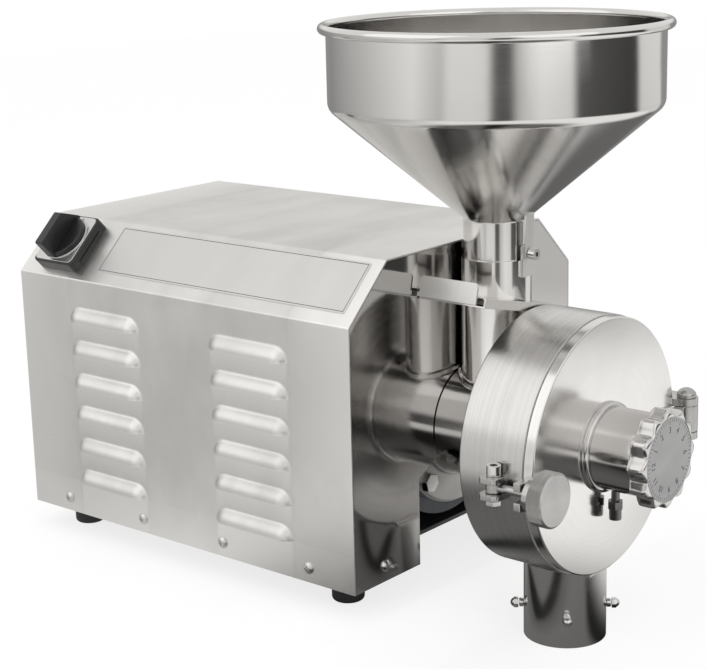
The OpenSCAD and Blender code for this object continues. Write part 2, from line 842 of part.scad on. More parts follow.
// Ball bearing at the drive end
module front_bearing() {
    color("silver")
        ring_x(motor_x - 6 - bearing_w, motor_x - 6, bearing_d / 2, journal_d / 2 + run_gap);
}

// Ball bearing at the fan end
module rear_bearing() {
    back = frame_end_x - rear_bell_l + 2;
    color("silver") ring_x(back, back + bearing_w, bearing_d / 2, journal_d / 2 + run_gap);
}

// Shaft from the fan to the turning disc, with its keyway and end hole
module motor_shaft() {
    journal_front = motor_x - 5.8;
    journal_rear = frame_end_x - rear_bell_l + 1.8;
    color("silver") difference() {
        union() {
            bar_x(fan_x - 2, shaft_end_x, shaft_d / 2);
            bar_x(journal_rear, journal_front, journal_d / 2);
        }
        translate([flange_x + 10, -key_w / 2, shaft_z + shaft_d / 2 - key_in])
            cube([shaft_end_x - flange_x, key_w, 20]);
        bar_x(shaft_end_x - 22, shaft_end_x + 1, disc_bolt_r);
    }
}

// Squirrel-cage core on the shaft
module rotor_core() {
    color([0.4, 0.4, 0.42]) ring_x(core_x, core_x + core_l, core_r, journal_d / 2);
}

// Six-bladed fan at the rear end of the shaft
module cooling_fan() {
    color([0.15, 0.15, 0.16]) {
        ring_x(fan_x, fan_x + fan_l, 20, shaft_d / 2);
        for (a = [0 : 60 : 300]) translate([fan_x, 0, shaft_z]) rotate([a, 0, 0])
            translate([0, -1.2, 19]) cube([fan_l, 2.4, 46]);
    }
}

// Long key that drives the auger and the turning disc
module shaft_key() {
    color("gray") translate([flange_x + 11, -key_w / 2, shaft_z + shaft_d / 2 - key_in])
        cube([shaft_end_x - flange_x - 12, key_w, key_in + key_out]);
}

// Slot for the key in a hub
module key_slot(x0, x1) {
    translate([x0, -key_w / 2 - key_gap, shaft_z])
        cube([x1 - x0, key_w + 2 * key_gap, shaft_d / 2 + key_out + key_gap]);
}

// Barrel and feed

// Children at each flange bolt, on the flange's front face
module flange_bolt_places() {
    for (a = [45 : 90 : 315]) translate([flange_x, 0, shaft_z]) rotate([a, 0, 0])
        translate([0, 0, flange_pcd / 2]) rotate([0, 90, 0]) children();
}

// Barrel welded to its motor flange
module barrel() {
    color("silver") difference() {
        union() {
            bar_x(motor_x, flange_x, flange_d / 2);
            bar_x(flange_x - 0.01, drum_x, barrel_r);
        }
        bar_x(flange_x, drum_x + 1, barrel_bore);
        bar_x(motor_x - 1, flange_x + 1, seal_d / 2);
        bar_x(motor_x - 1, motor_x + register_h + 0.2, register_d / 2 + 0.05);
        flange_bolt_places() translate([0, 0, -flange_t - 1]) cylinder(r = m8_r + 0.5, h = 12);
        translate([feed_x, 0, shaft_z]) cylinder(r = feed_inner, h = barrel_r + 5);
    }
}

// Hex bolts of the flange
module flange_bolts() {
    color("silver") flange_bolt_places() {
        translate([0, 0, -flange_t - 12]) cylinder(r = m8_r, h = flange_t + 13);
        hex(m8_hex, 5.3);
    }
}

// Lip seal between motor and barrel
module shaft_seal() {
    color([0.25, 0.1, 0.06])
        ring_x(motor_x + register_h + 0.4, flange_x, seal_d / 2, shaft_d / 2 + run_gap);
}

// Feed tube, cut to the barrel, with the gate slot and a ledge for the spout
module feed_tube() {
    color("silver") difference() {
        translate([feed_x, 0, shaft_z]) cylinder(r = feed_d / 2, h = feed_top);
        bar_x(flange_x - 5, drum_x + 5, barrel_r);
        difference() {
            translate([feed_x, 0, shaft_z - 1]) cylinder(r = feed_inner, h = feed_top + 2);
            ring_z(feed_x, 0, shaft_z + ledge_h, shaft_z + ledge_h + ledge_t, feed_d, ledge_r);
        }
        on_gate() translate([-slot_half, -feed_d, gate_h])
            cube([2 * slot_half, feed_d + gate_centre, channel_h]);
    }
}

// Lug on the tube that the locking screw goes into
module hopper_lug() {
    color("silver") difference() {
        translate([feed_x, -lug_w / 2, shaft_z + ledge_h + 3])
            cube([feed_d / 2 + lug_t, lug_w, feed_top + 10 - ledge_h - 3]);
        translate([feed_x, 0, shaft_z]) cylinder(r = feed_d / 2, h = feed_top);
        translate([feed_x, -lug_w, shaft_z + feed_top - 0.01]) cube([feed_d / 2, 2 * lug_w, 20]);
        translate([feed_x, 0, shaft_z + hopper_screw_h]) rotate([0, 90, 0])
            cylinder(r = hopper_screw_r, h = 60);
    }
}

// Locking screw of the hopper
module hopper_screw() {
    color("silver") translate([lug_x, 0, shaft_z + hopper_screw_h]) rotate([0, 90, 0]) difference() {
        union() {
            cylinder(r = hopper_screw_r, h = 6);
            translate([0, 0, strap_x + strap_t + 0.3 - lug_x]) cylinder(r = 4.3, h = 5.6);
        }
        translate([0, 0, 6]) cylinder(r = 2, h = 10, $fn = 6);
    }
}

// Children laid along the gate, which falls from its lip to its far end
module on_gate() {
    translate([feed_x, -channel_reach, shaft_z + gate_h]) rotate([-gate_tilt, 0, 0])
        translate([0, channel_reach, -gate_h]) children();
}

// Channel that guides the gate and rests on the feed tube, with a wider mouth
module gate_channel() {
    side = gate_half + gate_gap;
    back = side + back_rail_w;
    end_y = gate_centre + (feed_d / 2 + channel_rest) / cos(gate_tilt);
    color("gainsboro") difference() {
        on_gate() difference() {
            translate([-back, -channel_reach, gate_h - channel_wall])
                cube([back + side + rail_w, channel_reach + end_y, channel_h + 2 * channel_wall]);
            translate([-side, -channel_reach - 1, gate_h])
                cube([2 * side, channel_reach + 1 + gate_centre, channel_h]);
            translate([side - 0.01, -channel_reach - 1, gate_h])
                cube([rail_w - channel_wall + 0.01, pocket_l + 1, channel_h]);
        }
        translate([feed_x, 0, shaft_z]) cylinder(r = feed_d / 2, h = feed_top);
    }
}

// Sliding gate with its bent lip and a half-round end
module gate_plate() {
    low = gate_h + (channel_h - gate_t) / 2;
    lip_y = -channel_reach - lip_out - lip_t;
    color("gainsboro") on_gate() {
        translate([-gate_half, lip_y, low]) cube([2 * gate_half, gate_centre - lip_y, gate_t]);
        translate([0, gate_centre, low]) intersection() {
            cylinder(r = gate_half, h = gate_t);
            translate([-gate_half, -0.01, 0]) cube([2 * gate_half, gate_half, gate_t]);
        }
        translate([lip_side - lip_w / 2, lip_y + lip_t, low - 0.3 + lip_h / 2]) rotate([90, 0, 0])
            linear_extrude(lip_t) {
                round_rect(lip_w, lip_h, 3);
                translate([-lip_w / 2, -lip_h / 2]) square([lip_w, lip_h / 2]);
            }
    }
}

// Grinding head

// Auger on the shaft below the feed tube
module auger() {
    start = flange_x + 2;
    end = turn_disc_x - 0.3;
    color("silver") difference() {
        union() {
            bar_x(start, end, auger_hub_r);
            translate([start + 4, 0, shaft_z]) rotate([0, 90, 0])
                linear_extrude(end - start - 4, twist = -360 * auger_turns, slices = 30, segments = 1)
                    translate([0, -4]) square([auger_r, 8]);
        }
        bar_x(start - 1, end + 1, shaft_d / 2);
        key_slot(start - 1, end + 1);
    }
}

// Grooves over a disc face at station x
module disc_grooves(x) {
    for (k = [0 : groove_count - 1]) translate([x, 0, shaft_z]) rotate([k * 360 / groove_count, 0, 0])
        translate([-groove_h, 8, 40]) cube([2 * groove_h, 3.5, disc_r]);
}

// Turning disc with feed windows round its hub
module turning_disc() {
    color([0.5, 0.5, 0.52]) difference() {
        bar_x(turn_disc_x, disc_face_x, disc_r);
        bar_x(turn_disc_x - 1, disc_face_x + 1, shaft_d / 2);
        key_slot(turn_disc_x - 1, disc_face_x + 1);
        for (a = [30 : 60 : 330]) translate([turn_disc_x - 1, 0, shaft_z]) rotate([a, 0, 0])
            translate([0, 0, 27.5]) rotate([0, 90, 0]) cylinder(r = 8.5, h = turn_disc_t + 2);
        disc_grooves(disc_face_x);
    }
}

// End bolt and washer that hold the turning disc
module disc_bolt() {
    color("silver") {
        translate([disc_face_x, 0, shaft_z]) rotate([0, 90, 0]) {
            cylinder(r = 16, h = washer_t);
            translate([0, 0, washer_t]) hex(disc_hex, 5.3);
            translate([0, 0, -22]) cylinder(r = disc_bolt_r, h = 23);
        }
    }
}

// Drum with its back and discharge hole
module drum() {
    color("silver") difference() {
        bar_x(drum_x, drum_front, drum_r);
        bar_x(drum_x + drum_back, drum_front + 1, drum_bore);
        bar_x(drum_x - 1, drum_x + drum_back + 1, barrel_bore);
        translate([0, 0, shaft_z - drum_r - 5]) cylinder(r = drop_r, h = 30);
        ring_x(drum_front - 1.5, drum_front + 1, drum_r - 0.8, drum_r - 2.8);
    }
}

// Rubber ring in the drum's front groove
module drum_seal() {
    color([0.75, 0.75, 0.73]) ring_x(drum_front - 1.5, drum_front + 0.2, drum_r - 0.8, drum_r - 2.8);
}

// Outlet tube, cut to the drum, closed where it stands out past the drum's ends
module outlet_tube() {
    top = shaft_z - drum_r;
    bore_r = outlet_d / 2 - outlet_wall;
    end_r = bore_r - outlet_step;
    color("silver") difference() {
        union() {
            ring_z(0, 0, 0, top, outlet_d / 2, bore_r);
            difference() {
                translate([0, 0, outlet_plain_l]) cylinder(r = bore_r + 0.01, h = top - outlet_plain_l);
                translate([0, 0, outlet_plain_l - 0.001])
                    cylinder(r1 = bore_r, r2 = end_r, h = outlet_step);
                translate([0, 0, outlet_plain_l]) cylinder(r = end_r, h = drum_r);
            }
            intersection() {
                ring_z(0, 0, top - 0.01, shaft_z - drum_bore + 3, outlet_d / 2, end_r);
                translate([drum_x, -outlet_d, top - 1]) cube([drum_l, 2 * outlet_d, 30]);
            }
            difference() {
                translate([0, 0, top - 2]) cylinder(r = bore_r + 0.01, h = 2);
                translate([drum_x + 1, -outlet_d, top - 3]) cube([drum_l - 2, 2 * outlet_d, 6]);
            }
        }
        bar_x(drum_x, drum_front, drum_r);
        sock_screw_places() translate([0, 0, -5]) cylinder(r = 2, h = 20);
    }
}

// Children at each sock screw, Z pointing out of the tube
module sock_screw_places() {
    for (k = [0 : 3]) rotate([0, 0, sock_screw_turn + 90 * k])
        translate([outlet_d / 2, 0, sock_screw_h]) rotate([0, 90, 0]) children();
}

// Four short screws that hold a sock on the outlet
module sock_screws() {
    color("silver") sock_screw_places() {
        translate([0, 0, -outlet_wall]) cylinder(r = 2, h = outlet_wall + 6);
        translate([0, 0, 0.2]) cylinder(r = 3.2, h = 3);
        translate([0, 0, 3.8]) cylinder(r = 4, h = 6);
    }
}

// Hinge and clamp

// Two ears welded to the drum, with round ends about the hinge pin
module hinge_ears() {
    ear_r = knuckle_r;
    back_x = 2;
    inner_y = cover_d / 2;
    color("silver") difference() {
        for (z = [hinge_z + knuckle_h / 2 + knuckle_gap,
                hinge_z - knuckle_h / 2 - knuckle_gap - hinge_ear_t])
            translate([0, 0, z]) linear_extrude(hinge_ear_t) {
                translate([hinge_x, hinge_y]) circle(r = ear_r);
                polygon([[back_x, inner_y - 6], [drum_front, inner_y - 6], [drum_front, inner_y],
                    [hinge_x - 4, inner_y + 1], [hinge_x, hinge_y - ear_r], [hinge_x, hinge_y + ear_r],
                    [back_x + 14, hinge_y + ear_r], [back_x, drum_r + 4]]);
            }
        bar_x(drum_x, drum_front + 0.01, drum_r);
        translate([hinge_x, hinge_y, hinge_z - 40]) cylinder(r = hinge_pin_d / 2, h = 80);
    }
}

// Hinge pin with a domed head
module hinge_pin() {
    top = hinge_z + knuckle_h / 2 + knuckle_gap + hinge_ear_t;
    bottom = hinge_z - knuckle_h / 2 - knuckle_gap - hinge_ear_t - 2;
    color("silver") {
        translate([hinge_x, hinge_y, bottom]) cylinder(r = hinge_pin_d / 2, h = top - bottom);
        translate([hinge_x, hinge_y, top]) intersection() {
            translate([0, 0, -1]) sphere(r = 8);
            cylinder(r = 7.2, h = 7);
        }
    }
}

// Two ears welded to the drum for the swing bolt
module clamp_ears() {
    color("silver") difference() {
        for (z = [clamp_z + clamp_ear_in, clamp_z - clamp_ear_in - clamp_ear_t])
            translate([clamp_x, -clamp_y + 3, z]) linear_extrude(clamp_ear_t)
                round_rect(clamp_ear_w, 24, 4);
        bar_x(drum_x, drum_front, drum_r);
        translate([clamp_x, -clamp_y, clamp_z - 30]) cylinder(r = bolt_d / 2, h = 60);
    }
}

// Socket-head pin and nut through the clamp ears
module clamp_pin() {
    top = clamp_z + clamp_ear_in + clamp_ear_t;
    bottom = clamp_z - clamp_ear_in - clamp_ear_t;
    color("silver") difference() {
        union() {
            translate([clamp_x, -clamp_y, top]) cylinder(r = 5, h = 7.4);
            translate([clamp_x, -clamp_y, bottom - 6.6]) cylinder(r = bolt_d / 2, h = top - bottom + 7);
            translate([clamp_x, -clamp_y, bottom - 4.8]) hex(10, 4.8);
        }
        translate([clamp_x, -clamp_y, top + 3]) cylinder(r = 2.9, h = 6, $fn = 6);
    }
}

// Swing bolt with its eye round the clamp pin
module swing_bolt() {
    color("silver") translate([clamp_x, -clamp_y, clamp_z]) difference() {
        union() {
            translate([0, 0, -eye_t / 2]) cylinder(r = eye_r, h = eye_t);
            rotate([0, 90, 0]) cylinder(r = bolt_d / 2, h = nut_face_x - 5 - clamp_x);
        }
        translate([0, 0, -10]) cylinder(r = bolt_d / 2 + run_gap, h = 20);
    }
}

// Knurled clamp nut with its collar
module knurled_nut() {
    ridges = 40;
    color("silver") translate([nut_x, -clamp_y, clamp_z]) rotate([0, 90, 0]) difference() {
        union() {
            cylinder(r = collar_r, h = collar_l + 1);
            translate([0, 0, collar_l]) cylinder(r = nut_r, h = nut_t);
        }
        translate([0, 0, -1]) cylinder(r = bolt_d / 2 + run_gap, h = collar_l + nut_t - 3);
        for (k = [0 : ridges - 1]) rotate(k * 360 / ridges)
            translate([nut_r + 0.4, 0, collar_l - 1]) cylinder(r = 0.9, h = nut_t + 2);
    }
}

// Cover

// Round cover with a centring step, a bore for the stem and seats for the fork
module cover_disc() {
    color("gainsboro") difference() {
        union() {
            bar_x(cover_x, cover_face_x, cover_d / 2);
            bar_x(cover_x - step_h, cover_x + 0.01, drum_bore - step_gap);
        }
        bar_x(cover_x - step_h - 1, cover_face_x + 1, stem_d / 2 + 0.5);
        fork_bars();
    }
}

// Neck welded on the cover, with the stem's guide and the lock hole
module cover_neck() {
    color("silver") difference() {
        union() {
            bar_x(cover_face_x, neck_end_x, neck_d / 2);
            bar_x(cover_face_x, cover_face_x + 2.5, neck_d / 2 + 1.9);
        }
        bar_x(cover_face_x - 1, neck_end_x + 1, stem_d / 2 + run_gap);
        translate([lock_x, 0, shaft_z - neck_d]) cylinder(r = bolt_d / 2 + run_gap, h = neck_d);
    }
}

// Bush that guides the adjusting spindle in the neck
module neck_bush() {
    color([0.7, 0.55, 0.3])
        ring_x(neck_end_x - bush_l, neck_end_x, stem_d / 2 + run_gap, spindle_d / 2 + run_gap);
}

// Knuckle round the hinge pin with an arm on the cover's face
module hinge_knuckle() {
    low = hinge_z - knuckle_h / 2;
    arm_in = 70;
    color("silver") difference() {
        union() {
            translate([hinge_x, hinge_y, low]) cylinder(r = knuckle_r, h = knuckle_h);
            translate([cover_face_x, arm_in, low]) cube([knuckle_arm_t, hinge_y - arm_in, knuckle_h]);
        }
        translate([hinge_x, hinge_y, low - 1])
            cylinder(r = hinge_pin_d / 2 + run_gap, h = knuckle_h + 2);
    }
}

// Fork bars; the outer half is round about the clamp pin so that the nut swings clear
module fork_bars() {
    reach = fork_face_x - clamp_x;
    for (z = [clamp_z + fork_slot / 2, clamp_z - fork_slot / 2 - fork_h]) {
        translate([fork_face_x - fork_x, -clamp_y, z]) cube([fork_x, clamp_y - fork_in, fork_h]);
        intersection() {
            translate([fork_face_x - fork_x, -fork_out, z]) cube([fork_x, fork_out - clamp_y, fork_h]);
            translate([clamp_x, -clamp_y, z]) cylinder(r = reach, h = fork_h);
        }
    }
}

// Fork on the cover's edge for the swing bolt
module cover_fork() {
    color("silver") fork_bars();
}

// Carrier plate with the stem that slides in the neck
module disc_carrier() {
    color("silver") difference() {
        union() {
            bar_x(carrier_x, carrier_x + carrier_t, carrier_r);
            bar_x(carrier_x + carrier_t - 0.01, stem_end_x, stem_d / 2);
        }
        bar_x(stem_end_x - 26, stem_end_x + 1, spindle_d / 2 + 0.1);
        translate([cover_face_x - 2, -3.3, shaft_z - stem_d]) cube([20, 6.6, stem_d / 2 + 2.2]);
        carrier_screw_places() translate([0, 0, -20]) cylinder(r = 3.2, h = 20);
    }
}

// Children at each screw of the still disc, on the carrier's front face
module carrier_screw_places() {
    for (a = [0 : 90 : 270]) translate([carrier_x + carrier_t, 0, shaft_z]) rotate([a, 0, 0])
        translate([0, 0, 48]) rotate([0, 90, 0]) children();
}

// Still grinding disc
module still_disc() {
    color([0.5, 0.5, 0.52]) difference() {
        ring_x(still_disc_x, carrier_x, disc_r, 24);
        disc_grooves(still_disc_x);
        carrier_screw_places() translate([0, 0, -carrier_t - 6]) cylinder(r = 3, h = 10);
    }
}

// Screws that hold the still disc on its carrier
module carrier_screws() {
    color("silver") carrier_screw_places() {
        translate([0, 0, -carrier_t - 6]) cylinder(r = 3, h = carrier_t + 6.1);
        cylinder(r = 5, h = 0.6);
    }
}

// Lobed knob with its spindle
module knob() {
    ring = knob_r - lobe_r;
    color("silver") difference() {
        union() {
            translate([knob_x, 0, shaft_z]) rotate([0, 90, 0]) linear_extrude(knob_t) {
                circle(r = ring + 1);
                for (k = [0 : lobe_count - 1]) rotate(k * 360 / lobe_count)
                    translate([ring, 0]) circle(r = lobe_r);
            }
            bar_x(neck_end_x - bush_l - 18, knob_x + 0.01, spindle_d / 2);
            bar_x(neck_end_x - bush_l - spindle_collar_l - 0.4, neck_end_x - bush_l - 0.4,
                spindle_collar_r);
        }
        bar_x(knob_end_x - dial_t, knob_end_x + 1, dial_r);
    }
}

// Dial disc in the knob's face
module dial() {
    color([0.6, 0.6, 0.6]) bar_x(knob_end_x - dial_t, knob_end_x, dial_r);
}

// Lock bolt under the neck with its hex nut
module lock_bolt() {
    bottom = neck_d / 2 + lock_drop;
    color("silver") translate([lock_x, 0, shaft_z]) {
        translate([0, 0, -bottom + 2]) cylinder(r = bolt_d / 2, h = bottom - 2 - lock_tip);
        translate([0, 0, -bottom]) cylinder(r = 4.4, h = 8.1);
        translate([0, 0, -bottom + 8.1]) hex(10, 5.7);
    }
}

// Hopper

// Points on an arc
function arc(cx, cz, r, a0, a1, n) = [for (k = [0 : n]) let (a = a0 + (a1 - a0) * k / n)
    [cx + r * cos(a), cz + r * sin(a)]];

// Hopper outline from the spout to the rim, moved inwards by a wall
function hopper_side(inset) =
    let (cone_angle = atan2(cone_h, bowl_r - spout_r), r = bowl_round - inset,
        drop = bowl_round * tan((90 - cone_angle) / 2))
    concat([[spout_r - inset, spout_foot], [spout_r - inset, cone_foot + inset * 0.4]],
        arc(bowl_r - bowl_round, bowl_foot + drop, r, cone_angle - 90, 0, 8),
        [[bowl_r - inset, bowl_top]]);

// Turned sheet hopper with a rolled rim
module hopper() {
    outer = hopper_side(0);
    inner = hopper_side(hopper_wall);
    count = len(inner);
    color("silver") translate([feed_x, 0, shaft_z]) {
        rotate_extrude() polygon(concat(outer, [for (k = [count - 1 : -1 : 0]) inner[k]]));
        translate([0, 0, bowl_top]) rotate_extrude() translate([bead_out, 0]) circle(r = bead_r);
    }
}

// Strap on the hopper, open below so that it slides over the screw
module hopper_strap() {
    top = cone_foot + 5;
    color("silver") difference() {
        translate([strap_x, -strap_w / 2, shaft_z + strap_foot])
            cube([strap_t, strap_w, top - strap_foot]);
        translate([strap_x - 1, -hopper_screw_r - 0.4, shaft_z + strap_foot - 1])
            cube([strap_t + 2, 2 * hopper_screw_r + 0.8, hopper_screw_h - strap_foot + 1]);
        translate([strap_x - 1, 0, shaft_z + hopper_screw_h]) rotate([0, 90, 0])
            cylinder(r = hopper_screw_r + 0.4, h = strap_t + 2);
        translate([feed_x, 0, shaft_z]) rotate_extrude()
            polygon(concat(hopper_side(0), [[0, bowl_top], [0, spout_foot]]));
    }
}

casing_wrap();
front_panel();
rear_panel();
base_plate();
rubber_feet();
foot_screws();
casing_screws();
blank_plate();
switch_body();
switch_plate();
switch_handle();
cable_gland();
motor_frame();
motor_front_bell();
motor_rear_bell();
stator();
windings();
fan_cowl();
terminal_box();
motor_bolts();
front_bearing();
rear_bearing();
motor_shaft();
rotor_core();
cooling_fan();
shaft_key();
barrel();
flange_bolts();
shaft_seal();
feed_tube();
hopper_lug();
hopper_screw();
gate_channel();
gate_plate();
auger();
turning_disc();
disc_bolt();
drum();
drum_seal();
outlet_tube();
sock_screws();
hinge_ears();
hinge_pin();
clamp_ears();
clamp_pin();
swing_bolt();
knurled_nut();
cover_disc();
cover_neck();
neck_bush();
hinge_knuckle();
cover_fork();
disc_carrier();
still_disc();
carrier_screws();
knob();
dial();
lock_bolt();
hopper();
hopper_strap();
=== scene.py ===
import json
from math import atan2, cos, pi, radians, sin, sqrt, tan

import bmesh
import bpy
from mathutils import Matrix, Vector


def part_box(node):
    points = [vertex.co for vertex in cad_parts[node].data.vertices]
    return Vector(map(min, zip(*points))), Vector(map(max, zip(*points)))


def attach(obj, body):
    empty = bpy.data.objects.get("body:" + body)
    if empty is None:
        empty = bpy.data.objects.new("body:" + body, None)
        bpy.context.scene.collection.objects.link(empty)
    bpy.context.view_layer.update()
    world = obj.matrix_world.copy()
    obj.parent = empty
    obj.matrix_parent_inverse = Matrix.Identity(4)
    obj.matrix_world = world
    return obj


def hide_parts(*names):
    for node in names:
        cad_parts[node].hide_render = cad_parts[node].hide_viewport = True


# Disc mill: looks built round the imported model. Pieces are modelled in millimetres and scaled to metres.
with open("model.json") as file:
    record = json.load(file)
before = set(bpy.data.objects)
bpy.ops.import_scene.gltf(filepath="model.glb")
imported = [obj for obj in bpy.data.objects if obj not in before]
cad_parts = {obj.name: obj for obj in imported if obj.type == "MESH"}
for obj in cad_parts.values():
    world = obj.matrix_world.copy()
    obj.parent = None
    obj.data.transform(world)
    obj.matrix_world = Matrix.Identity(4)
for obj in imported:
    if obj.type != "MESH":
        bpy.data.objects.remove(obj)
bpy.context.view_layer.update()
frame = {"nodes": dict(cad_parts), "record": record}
MM = 0.001
AXIS_X = Vector((1, 0, 0))
AXIS_Z = Vector((0, 0, 1))


def node_box(node):
    """Lowest and highest corner of a CAD node, in millimetres."""
    low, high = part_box(node)
    return low / MM, high / MM


def body_of(node):
    """Name of the body that a CAD node rides on."""
    for body, members in frame["record"]["behaviour"]["bodies"].items():
        if node in members:
            return body
    raise ValueError(node)


# Places taken from the frame, and sizes that it doesn't hold
drum_low, drum_high = node_box("drum")
wrap_low, wrap_high = node_box("casing_wrap")
_, panel_high = node_box("front_panel")
feed_low, feed_high = node_box("feed_tube")
barrel_low, barrel_high = node_box("barrel")
cover_low, cover_high = node_box("cover_disc")
neck_low, neck_high = node_box("cover_neck")
knob_low, knob_high = node_box("knob")
hopper_low, hopper_high = node_box("hopper")
_, outlet_high = node_box("outlet_tube")
nut_low, nut_high = node_box("knurled_nut")

shaft_z = (drum_low.z + drum_high.z) / 2
drum_r = drum_high.y
front_x = wrap_high.x
rear_x = wrap_low.x
SHEET = 1.2
PANEL_GAP = 0.3
half_w = panel_high.y + SHEET + PANEL_GAP
casing_foot = wrap_low.z
casing_top = wrap_high.z
SHOULDER_W = 42.4
SHOULDER_H = 40
feed_x = (feed_low.x + feed_high.x) / 2
feed_r = (feed_high.x - feed_low.x) / 2
FEED_WALL = 1.5
feed_top = feed_high.z
BARREL_R = 42
BARREL_WALL = 4
DRUM_WALL = 4
DRUM_BACK = 3
GATE_FALL = radians(13.3)
GATE_REACH = 58
GATE_MOUTH = 103.5
GATE_SLOT_H = 4.4
GATE_SLOT_W = 47.4
GATE_END = 1.08
shaft_line = Vector((0, 0, shaft_z))
feed_line = Vector((feed_x, 0, 0))
nut_line = Vector((0, (nut_low.y + nut_high.y) / 2, (nut_low.z + nut_high.z) / 2))
ORIGIN = Vector((0, 0, 0))
INK_T = 0.08
on_gate = (Matrix.Translation((feed_x, -GATE_REACH, shaft_z + GATE_MOUTH))
           @ Matrix.Rotation(-GATE_FALL, 4, "X"))


# Mesh helpers

def into_scene(name, data):
    """New object in the scene."""
    made = bpy.data.objects.new(name, data)
    bpy.context.scene.collection.objects.link(made)
    return made


def fillet(points, radii, steps=5, closed=False):
    """Outline with rounded corners; radii gives a radius for each point, 0 where it stays sharp."""
    out = []
    for i, point in enumerate(points):
        here = Vector(point)
        if radii[i] == 0 or (not closed and i in (0, len(points) - 1)):
            out.append(here)
            continue
        back = (Vector(points[i - 1]) - here).normalized()
        onward = (Vector(points[(i + 1) % len(points)]) - here).normalized()
        half = back.angle(onward) / 2
        centre = here + (back + onward).normalized() * radii[i] / sin(half)
        start = here + back * radii[i] / tan(half) - centre
        end = here + onward * radii[i] / tan(half) - centre
        sweep = start.angle(end)
        for k in range(steps + 1):
            turn = sweep * k / steps
            out.append(centre + (start * sin(sweep - turn) + end * sin(turn)) / sin(sweep))
    return out


def circle_points(x, y, r, steps):
    """Points of a circle, such as the profile of a bead or a rolled rim."""
    return [(x + r * cos(2 * pi * k / steps), y + r * sin(2 * pi * k / steps)) for k in range(steps)]


def new_verts(geom):
    """Vertices among what an operator made."""
    return [g for g in geom if isinstance(g, bmesh.types.BMVert)]


def new_edges(geom):
    """Edges among what an operator made."""
    return [g for g in geom if isinstance(g, bmesh.types.BMEdge)]


def poly_line(bm, points):
    """Adds a line through points; gives its vertices and edges."""
    verts = [bm.verts.new(p) for p in points]
    return verts, [bm.edges.new(pair) for pair in zip(verts, verts[1:])]


def raise_outline(bm, points, step):
    """Adds a solid between an outline and its copy a step away; gives the copy's vertices."""
    face = bm.faces.new([bm.verts.new(p) for p in points])
    raised = new_verts(bmesh.ops.extrude_face_region(bm, geom=[face])["geom"])
    bmesh.ops.translate(bm, vec=step, verts=raised)
    return raised


def closed_mesh(name, bm):
    """Mesh of what a bmesh holds; the bmesh is freed."""
    mesh = bpy.data.meshes.new(name)
    bm.to_mesh(mesh)
    bm.free()
    return mesh


def metre_mesh(name, bm):
    """Mesh in metres of a shape in millimetres, with its faces turned outwards."""
    bmesh.ops.recalc_face_normals(bm, faces=bm.faces)
    bmesh.ops.scale(bm, vec=(MM, MM, MM), verts=bm.verts)
    return closed_mesh(name, bm)


def take_in(bm, mesh):
    """Adds a mesh to a bmesh and removes the mesh."""
    bm.from_mesh(mesh)
    bpy.data.meshes.remove(mesh)


def sleeve(start, end, bore, radius):
    """Profile corners of a turned sleeve, or of a disc where the bore is 0."""
    return [(start, bore), (start, radius), (end, radius), (end, bore)]


def bar(bm, place, size, seat=Matrix()):
    """Adds a box of a size at a place on a seat."""
    bmesh.ops.create_cube(bm, size=1, matrix=seat @ Matrix.Translation(place) @ Matrix.Diagonal((*size, 1)))


def spin(bm, profile, axis, centre, segments=128, closed=True):
    """Spins a profile of (along, radius) points about an axis through centre."""
    side = AXIS_Z if axis is AXIS_X else AXIS_X
    verts, edges = poly_line(bm, [centre + axis * along + side * radius for along, radius in profile])
    if closed:
        edges.append(bm.edges.new((verts[-1], verts[0])))
    bmesh.ops.spin(bm, geom=verts + edges, cent=centre, axis=axis, angle=2 * pi, steps=segments,
                   use_merge=True)


def ease(bm, width, segments=2, angle=32):
    """Rounds every edge that turns by more than an angle."""
    sharp = [e for e in bm.edges if len(e.link_faces) == 2 and e.calc_face_angle(0) > radians(angle)]
    if sharp:
        bmesh.ops.bevel(bm, geom=sharp, offset=width, offset_type="OFFSET", segments=segments, profile=0.5,
                        affect="EDGES", clamp_overlap=True, material=-1)


def piece(name, bm, finish, body, replaces=(), sharp=40):
    """Finishes a shape in millimetres as a named piece on a body."""
    bmesh.ops.remove_doubles(bm, verts=bm.verts, dist=0.001)
    mesh = metre_mesh(name, bm)
    mesh.shade_smooth()
    mesh.set_sharp_from_angle(angle=radians(sharp))
    made = into_scene(name, mesh)
    mesh.materials.append(FINISHES[finish])
    weigh = made.modifiers.new("even normals", "WEIGHTED_NORMAL")
    weigh.keep_sharp = True
    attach(made, body)
    if replaces:
        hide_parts(*replaces)
    return made


def eased(node, name, finish, width):
    """Copies a CAD node, merges it and rounds its edges; the copy stands for the node."""
    bm = bmesh.new()
    bm.from_mesh(frame["nodes"][node].data)
    bmesh.ops.scale(bm, vec=(1 / MM, 1 / MM, 1 / MM), verts=bm.verts)
    bmesh.ops.remove_doubles(bm, verts=bm.verts, dist=0.002)
    bmesh.ops.dissolve_limit(bm, angle_limit=radians(0.3), verts=bm.verts, edges=bm.edges)
    ease(bm, width)
    piece(name, bm, finish, body_of(node), [node])


def carve(target, bm):
    """Cuts a closed shape in millimetres out of a finished piece."""
    cutter = into_scene("cutter", metre_mesh("cutter", bm))
    cut = target.modifiers.new("cut", "BOOLEAN")
    cut.object = cutter
    cut.solver = "EXACT"
    target.modifiers.move(target.modifiers.find("cut"), 0)
    bpy.context.view_layer.update()
    shaped = bpy.data.meshes.new_from_object(target.evaluated_get(bpy.context.evaluated_depsgraph_get()))
    target.modifiers.remove(target.modifiers["cut"])
    bpy.data.objects.remove(cutter)
    target.data = shaped


